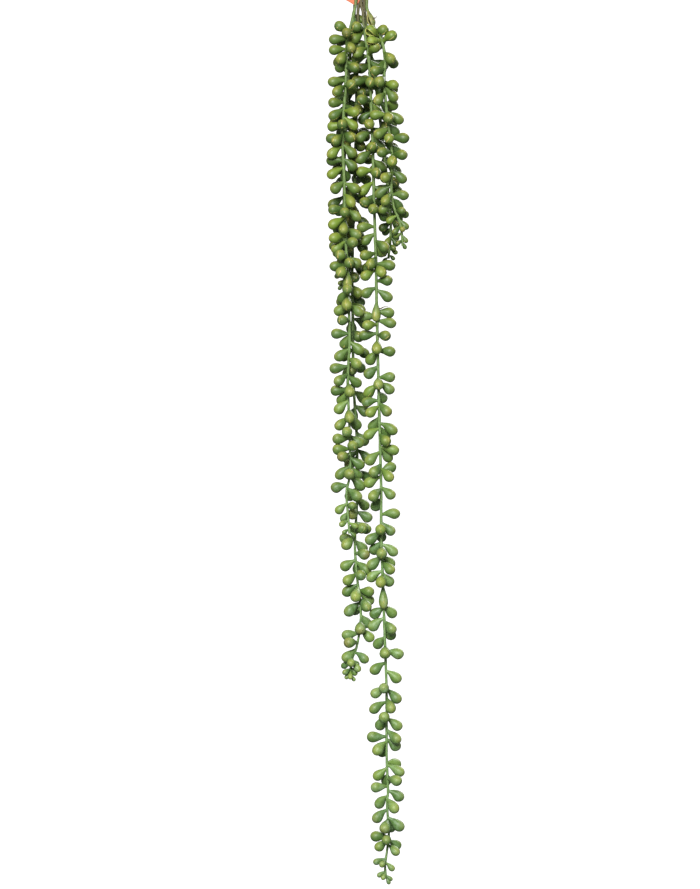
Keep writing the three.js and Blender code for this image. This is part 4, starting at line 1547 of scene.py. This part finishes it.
def strands() -> list[Strand]:
    """Returns the six strands in the order in which their leaves find room."""
    return [
        Strand(
            "strand_long",
            seed=31,
            root_x=2,
            row=Row.FRONT,
            taper_length=50,
            route=[
                (-1.1, 0, -2.4), (1.1, 14, -2.6), (2, 31, -3), (5, 50, -4), (8, 72, -5),
                (10, 112, -6), (12, 163, -6), (13.5, 225, -6), (15.5, 292, -6), (16.5, 345, -6),
                (18, 410, -7), (19.7, 480, -7), (21.4, 545, -7), (21.6, 600, -7), (23.5, 658, -7),
                (25.3, 709, -6), (27.6, 780, -5), (27.6, 844, -4), (29.2, 888, -4), (28, 903, -4),
                (30.2, 937, -3), (28.2, 956, -3), (26, 973, -3), (27, 988, -3),
            ],
            whorls=[
                (32, "q"), (34, "Q"), (37, "e"), (48, "e"), (55, "Q"), (63, "2"), (64, "w"),
                (68, "K"), (90, "w"), (94, "sE"), (115, "qK"), (127, "D"), (140, "s"), (145, "E"),
                (149, "W"), (155, "K"), (168, "s"), (171, "W"), (180, "K"), (192, "w"), (197, "s"),
                (205, "W"), (210, "E"), (220, "D"), (228, "w"), (234, "sE"), (256, "w"), (263, "W"),
                (271, "PE"), (285, "q"), (290, "QD"), (297, "e"), (300, "P"), (304, "W"),
                (317, "s"), (324, "WE"), (338, "V"), (351, "e"), (358, "w"), (361, "e"), (366, "q"),
                (375, "wp"), (383, "S"), (396, "e"), (395, "D"), (412, "W"), (425, "e"), (424, "P"),
                (431, "ED"), (441, "E"), (451, "w"), (453, "P"), (457, "W"), (469, "D"), (476, "E"),
                (480, "K"), (482, "W"), (488, "P"), (503, "e"), (505, "K"), (508, "W"), (522, "Q"),
                (527, "P"), (531, "2"), (536, "W"), (548, "E"), (550, "Q"), (561, "D"), (579, "e"),
                (587, "E"), (595, "E"), (595, "s"), (597, "W"), (609, "W"), (612, "E"), (616, "S"),
                (625, "W"), (626, "K"), (631, "E"), (642, "WKS"), (651, "Q"), (657, "V"),
                (681, "KD"), (695, "W"), (698, "P"), (704, "E"), (716, "D"), (727, "S"), (733, "e"),
                (745, "W"), (754, "E"), (770, "sWE"), (785, "P"), (789, "W"), (803, "sDE"),
                (813, "K"), (820, "P"), (828, "w"), (831, "E"), (834, "QD"), (858, "k"), (860, "E"),
                (863, "W"), (871, "D"), (876, "p"), (884, "w"), (889, "E"), (895, "D"), (898, "P"),
                (910, "W"), (919, "E"), (921, "QK"), (941, "wsQ"), (945, "K"), (950, "E"),
                (965, "wqE"), (979, "wqe"), (986, "E"),
            ],
            twigs=[
                [(17.4, 346.4, -7), (20.5, 347.6, -10), (24.4, 345.8, -12), (29.4, 345.2, -11.5)],
            ],
        ),
        Strand(
            "strand_front_left",
            seed=17,
            root_x=-6,
            row=Row.FRONT,
            brown_down_to=3,
            taper_length=45,
            route=[
                (-6.8, 0, -2.4), (-9, 14, -4), (-13.2, 33, -8), (-17, 52, -12), (-18, 90, -15),
                (-20.6, 132, -15), (-21.8, 165, -15), (-19.9, 205, -15), (-18.6, 262, -14),
                (-16, 318, -13), (-14, 380, -12), (-16, 430, -11), (-14.2, 478, -10),
                (-13.4, 530, -9), (-17.4, 553, -9), (-16.2, 574, -9), (-14.1, 600, -9),
            ],
            whorls=[
                (16, "V"), (39, "1s"), (46, "wE"), (57, "wQ"), (69, "WK"), (79, "p"), (93, "w"),
                (98, "W"), (99, "se"), (117, "qK"), (124, "Wp"), (133, "E"), (142, "ws"),
                (149, "P"), (152, "Q"), (154, "w"), (164, "E"), (166, "W"), (180, "E"), (183, "w"),
                (190, "WK"), (205, "WE"), (220, "P"), (235, "wE"), (242, "s"), (246, "W"),
                (250, "Q"), (256, "pE"), (267, "q"), (272, "Wp"), (288, "qE"), (296, "s"),
                (300, "wQ"), (301, "V"), (326, "sD"), (334, "S"), (342, "WE"), (362, "q"),
                (376, "wD"), (385, "EK"), (393, "W"), (404, "P"), (412, "w"), (421, "QK"),
                (431, "S"), (438, "w"), (440, "D"), (451, "W"), (460, "S"), (469, "QK"), (485, "s"),
                (490, "E"), (493, "q"), (500, "s"), (505, "w"), (513, "qE"), (524, "WK"),
                (531, "s"), (537, "E"), (546, "w"), (549, "E"), (566, "Wp"), (576, "D"),
                (585, "we"), (595, "we"),
            ],
        ),
        Strand(
            "strand_right",
            seed=43,
            root_x=10,
            row=Row.FRONT,
            brown_down_to=3,
            twigs=[[(11.4, 23.6, -11), (13.6, 22, -11.5), (15.4, 21.6, -12), (16.6, 19.6, -12)]],
            burst=[
                Burst(10, -45, 66, 23, 4.2, opening=84, gape=20, withered=True),
                Burst(42, 214, -22, 19.5, 5.4, opening=168, gape=44),
                Burst(47, 210, 8, 19.5, 4.9, opening=172, gape=44),
            ],
            taper_length=62,
            route=[
                (5.6, 0, -2.4), (6.8, 14, -4), (14, 33, -10), (22, 47, -16), (25.8, 70, -19),
                (24.6, 92, -20), (27, 122, -20), (31.5, 158, -20), (34.2, 184, -20),
                (32.6, 210, -20), (35, 232, -20), (43, 254, -20), (45.4, 278, -20),
            ],
            whorls=[
                (36, "p"), (50, "2"), (61, "P"), (66, "E"), (70, "K"), (80, "q"), (88, "W"),
                (93, "K"), (98, "sE"), (107, "Q"), (113, "P"), (119, "e"), (128, "E"), (130, "S"),
                (132, "w"), (142, "K"), (146, "W"), (156, "se"), (165, "K"), (174, "wp"),
                (178, "Q"), (193, "EW"), (199, "P"), (211, "D"), (218, "Q"), (221, "e"), (225, "K"),
                (229, "W"), (239, "pe"), (244, "W"), (248, "E"), (255, "We"), (263, "wE"),
                (271, "qK"),
            ],
        ),
        Strand(
            "strand_back_left",
            seed=59,
            root_x=-2,
            row=Row.BACK,
            shaded_down_to=500,
            taper_length=30,
            route=[
                (-3.4, 0, 2.4), (-4.5, 14, 3), (-4.5, 31, 6), (-5, 56, 12), (-6, 101, 17),
                (-7, 158, 18), (-9, 225, 18), (-11, 304, 16), (-10.1, 371, 14), (-9.6, 430, 13),
                (-6, 490, 12), (-5.6, 562, 10), (-8, 612, 8), (-5.4, 650, 6), (-1.2, 692, 4),
                (-5.6, 726, 3), (-12, 744, 2), (-12.4, 760, 2),
            ],
            whorls=[
                (40, "QD"), (50, "e"), (65, "sW"), (80, "D"), (90, "qP"), (98, "W"), (115, "dSE"),
                (130, "D"), (140, "WP"), (152, "WP"), (165, "QN"), (176, "e"), (190, "sE"),
                (204, "D"), (215, "wP"), (228, "N"), (240, "QE"), (253, "D"), (264, "S"),
                (270, "E"), (284, "W"), (295, "PD"), (310, "s"), (320, "P"), (330, "KW"),
                (340, "E"), (348, "w"), (358, "EN"), (372, "PD"), (390, "EW"), (404, "KS"),
                (410, "EN"), (431, "D"), (440, "K"), (456, "EN"), (486, "K"), (506, "ED"),
                (514, "P"), (529, "K"), (549, "D"), (559, "K"), (570, "Q"), (576, "E"), (588, "EN"),
                (597, "p"), (604, "QwK"), (623, "e"), (630, "WD"), (632, "E"), (637, "K"),
                (645, "Q"), (649, "e"), (658, "WQ"), (664, "pE"), (674, "E"), (678, "W"),
                (686, "w"), (692, "K"), (699, "S"), (707, "E"), (713, "w"), (723, "w"), (730, "W"),
                (734, "E"), (741, "w"), (746, "e"), (752, "q"), (757, "wE"),
            ],
            more=[
                (24, "s"), (31, "p"), (40, "e"), (47, "s"), (57, "p"), (62, "e"), (74, "q"),
                (104, "e"), (122, "p"), (147, "e"), (172, "p"), (198, "n"), (222, "e"), (262, "d"),
                (734, "P"), (739, "s"), (744, "K"), (747, "q"), (750, "E"), (752, "D"),
                (754, "S"), (756, "P"),
            ],
        ),
        Strand(
            "strand_behind_left",
            seed=71,
            root_x=-10,
            row=Row.BACK,
            shaded_down_to=900,
            taper_length=62,
            route=[
                (-8.4, 0, 2.4), (-8.6, 14, 3), (-10, 34, 5), (-14, 66, 8), (-17, 112, 10),
                (-19.5, 169, 11), (-20.5, 225, 11), (-20.5, 276, 9), (-20, 322, 7),
            ],
            whorls=[
                (44, "dK"), (60, "W"), (67, "PN"), (84, "W"), (90, "QK"), (106, "N"), (113, "WP"),
                (130, "Q"), (136, "ND"), (150, "W"), (159, "EQ"), (174, "D"), (182, "WS"),
                (198, "N"), (205, "QE"), (220, "W"), (228, "DP"), (243, "Q"), (251, "NE"),
                (266, "W"), (274, "PQ"), (288, "wN"), (297, "QE"), (306, "we"), (314, "qN"),
                (319, "wp"),
            ],
        ),
        Strand(
            "strand_back_right",
            seed=83,
            root_x=6,
            row=Row.BACK,
            shaded_down_to=900,
            taper_length=62,
            route=[
                (2.4, 0, 2.4), (3.2, 14, 3), (5.5, 34, 6), (11.3, 66, 11), (18, 112, 15),
                (24.8, 169, 17), (29.6, 214, 17), (32.6, 256, 16), (30, 290, 15),
            ],
            whorls=[
                (44, "eS"), (60, "N"), (67, "EP"), (84, "W"), (90, "DE"), (106, "N"), (113, "KS"),
                (130, "E"), (136, "PN"), (152, "D"), (159, "EQ"), (174, "N"), (182, "KW"),
                (198, "P"), (205, "EQ"), (216, "D"), (228, "DP"), (238, "N"), (246, "PW"),
                (256, "wK"), (264, "QE"), (272, "we"), (279, "pq"), (286, "ew"),
            ],
            more=[
                (26, "w"), (32, "s"), (38, "n"), (49, "w"), (55, "q"), (62, "w"), (72, "s"),
                (80, "w"), (98, "w"), (121, "q"), (144, "w"), (168, "q"), (190, "w"),
            ],
        ),
    ]


@dataclass
class Foliage:
    """All the strands, grown in one order so that none crosses another."""

    strands: list[Strand] = field(default_factory=strands)

    def build(self) -> None:
        """Grows every strand, then its extra leaves, and makes its pieces."""
        skins = {
            Row.FRONT: ("leaf_green", LeafFinish("leaf_skin").material()),
            Row.BACK: ("leaf_shaded", LeafFinish("shaded_leaf").material()),
        }
        torn = {False: SplitLeafFinish().material(), True: WITHERED.material()}
        bark = StemFinish("stem_skin").material()
        stems = [
            Ball(point, strand.stem_radius, strand.name)
            for strand in self.strands
            for point in strand.centre_line()
        ]
        taken: list[Ball] = []
        grown = [s.leaves(s.whorls, s.seed, stems, taken) for s in self.strands]
        for strand, leaves in zip(self.strands, grown):
            leaves += strand.leaves(strand.more, strand.seed + 500, stems, taken)
            LOG.info("%s: %d leaves", strand.name, len(leaves))
            slot, skin = skins[strand.row]
            painter = StrandPainter(strand, skin, bark, torn, slot)
            painter.leaf_piece(leaves)
            painter.stem_piece(leaves)
            painter.twig_pieces()
            painter.burst_pieces()


@dataclass
class StemLabel:
    """A bare orange strip whose band goes round the front left stem."""

    node: str = "stem_label"
    finish: LabelFinish = LabelFinish()

    def build(self) -> None:
        """Dresses the label's own CAD node."""
        dress(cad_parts[self.node], self.finish.material())
        LOG.info("%s: dressed as it is", self.node)


# ---- studio ----
@dataclass(frozen=True)
class Lamp:
    """A square soft light: its place and its side in metres, and its power in watts."""

    name: str
    place: tuple[float, float, float]
    power: float
    size: float

    def hang(self, aim: Vector) -> None:
        """Adds the light to the scene, facing a point."""
        data = bpy.data.lights.new(self.name, "AREA")
        data.energy, data.size = self.power, self.size
        lamp = bpy.data.objects.new(self.name, data)
        lamp.location = self.place
        lamp.rotation_euler = (aim - Vector(self.place)).to_track_quat("-Z", "Y").to_euler()
        lamp.visible_camera = False
        bpy.context.scene.collection.objects.link(lamp)


@dataclass
class Studio:
    """A round white cove, soft lights and the camera."""

    floor: float = -4.4
    radius: float = 11.0
    wall_top: float = 5.0
    bend: float = 1.2
    bend_steps: int = 12
    sides: int = 96
    white: Colour = (0.82, 0.82, 0.82)
    floor_glow: Colour = (0.66, 0.66, 0.66)
    wall_glow: Colour = (1.0, 1.0, 1.0)
    sky_strength: float = 0.2
    aim: tuple[float, float, float] = (-0.0135, -0.066, -0.820)
    distance: float = 3.5
    frame_height: float = 1.0
    lamps: tuple[Lamp, ...] = (
        Lamp("key", (-0.6, -3.3, 0.6), 205.0, 1.3),
        Lamp("fill", (2.4, -3.0, -0.6), 16.0, 2.0),
        Lamp("back", (1.6, 2.8, 1.2), 90.0, 2.0),
    )

    def cove_profile(self) -> Profile:
        """Returns the cove's section: the top of the wall, the bend and the floor's middle."""
        middle = self.radius - self.bend
        turns = [math.pi / 2 * step / self.bend_steps for step in range(self.bend_steps, -1, -1)]
        bend = [
            (middle + self.bend * math.sin(turn), self.floor + self.bend * (1 - math.cos(turn)))
            for turn in turns
        ]
        return [(self.radius, self.wall_top), *bend, (0.0, self.floor)]

    def cove(self) -> None:
        """Makes the floor and the wall as one sweep that glows evenly."""
        cove = turned_body(self.cove_profile(), self.sides, "studio_cove", closed=False)
        shader = Shader("cove_white")
        rise = shader.ease(shader.height(), self.floor, self.floor + self.bend)
        finish = shader.finish(
            Base_Color=(*self.white, 1.0),
            Roughness=1.0,
            Specular_IOR_Level=0.0,
            Emission_Color=shader.mix(rise, self.floor_glow, self.wall_glow),
            Emission_Strength=1.0,
        )
        dress(cove, finish)
        cove.visible_diffuse = False
        cove.visible_glossy = False

    def camera(self) -> None:
        """Adds the camera, level, square to the strands and a metre high at their depth."""
        data = bpy.data.cameras.new("camera")
        data.sensor_fit = "AUTO"
        data.sensor_width = 36.0
        data.lens = data.sensor_width * self.distance / self.frame_height
        data.clip_end = 60.0
        camera = bpy.data.objects.new("camera", data)
        camera.location = Vector(self.aim) - Vector((0.0, self.distance, 0.0))
        camera.rotation_euler = (math.pi / 2, 0.0, 0.0)
        bpy.context.scene.collection.objects.link(camera)
        bpy.context.scene.camera = camera

    def build(self) -> None:
        """Sets the whole studio."""
        world = bpy.data.worlds.new("studio_sky")
        bpy.context.scene.world = world
        world.use_nodes = True
        sky = world.node_tree.nodes["Background"]
        sky.inputs["Color"].default_value = (1.0, 1.0, 1.0, 1.0)
        sky.inputs["Strength"].default_value = self.sky_strength
        self.cove()
        for lamp in self.lamps:
            lamp.hang(Vector(self.aim))
        self.camera()
        bpy.context.scene.view_settings.view_transform = "Standard"


def main() -> None:
    """Builds every sub-assembly in order."""
    logging.basicConfig(level=logging.INFO, format="%(name)s %(message)s")
    Studio().build()
    pot = Pot()
    pot.build()
    Soil(pot).build()
    Hanger(pot).build()
    Foliage().build()
    StemLabel().build()


if __name__ == "__main__":
    main()
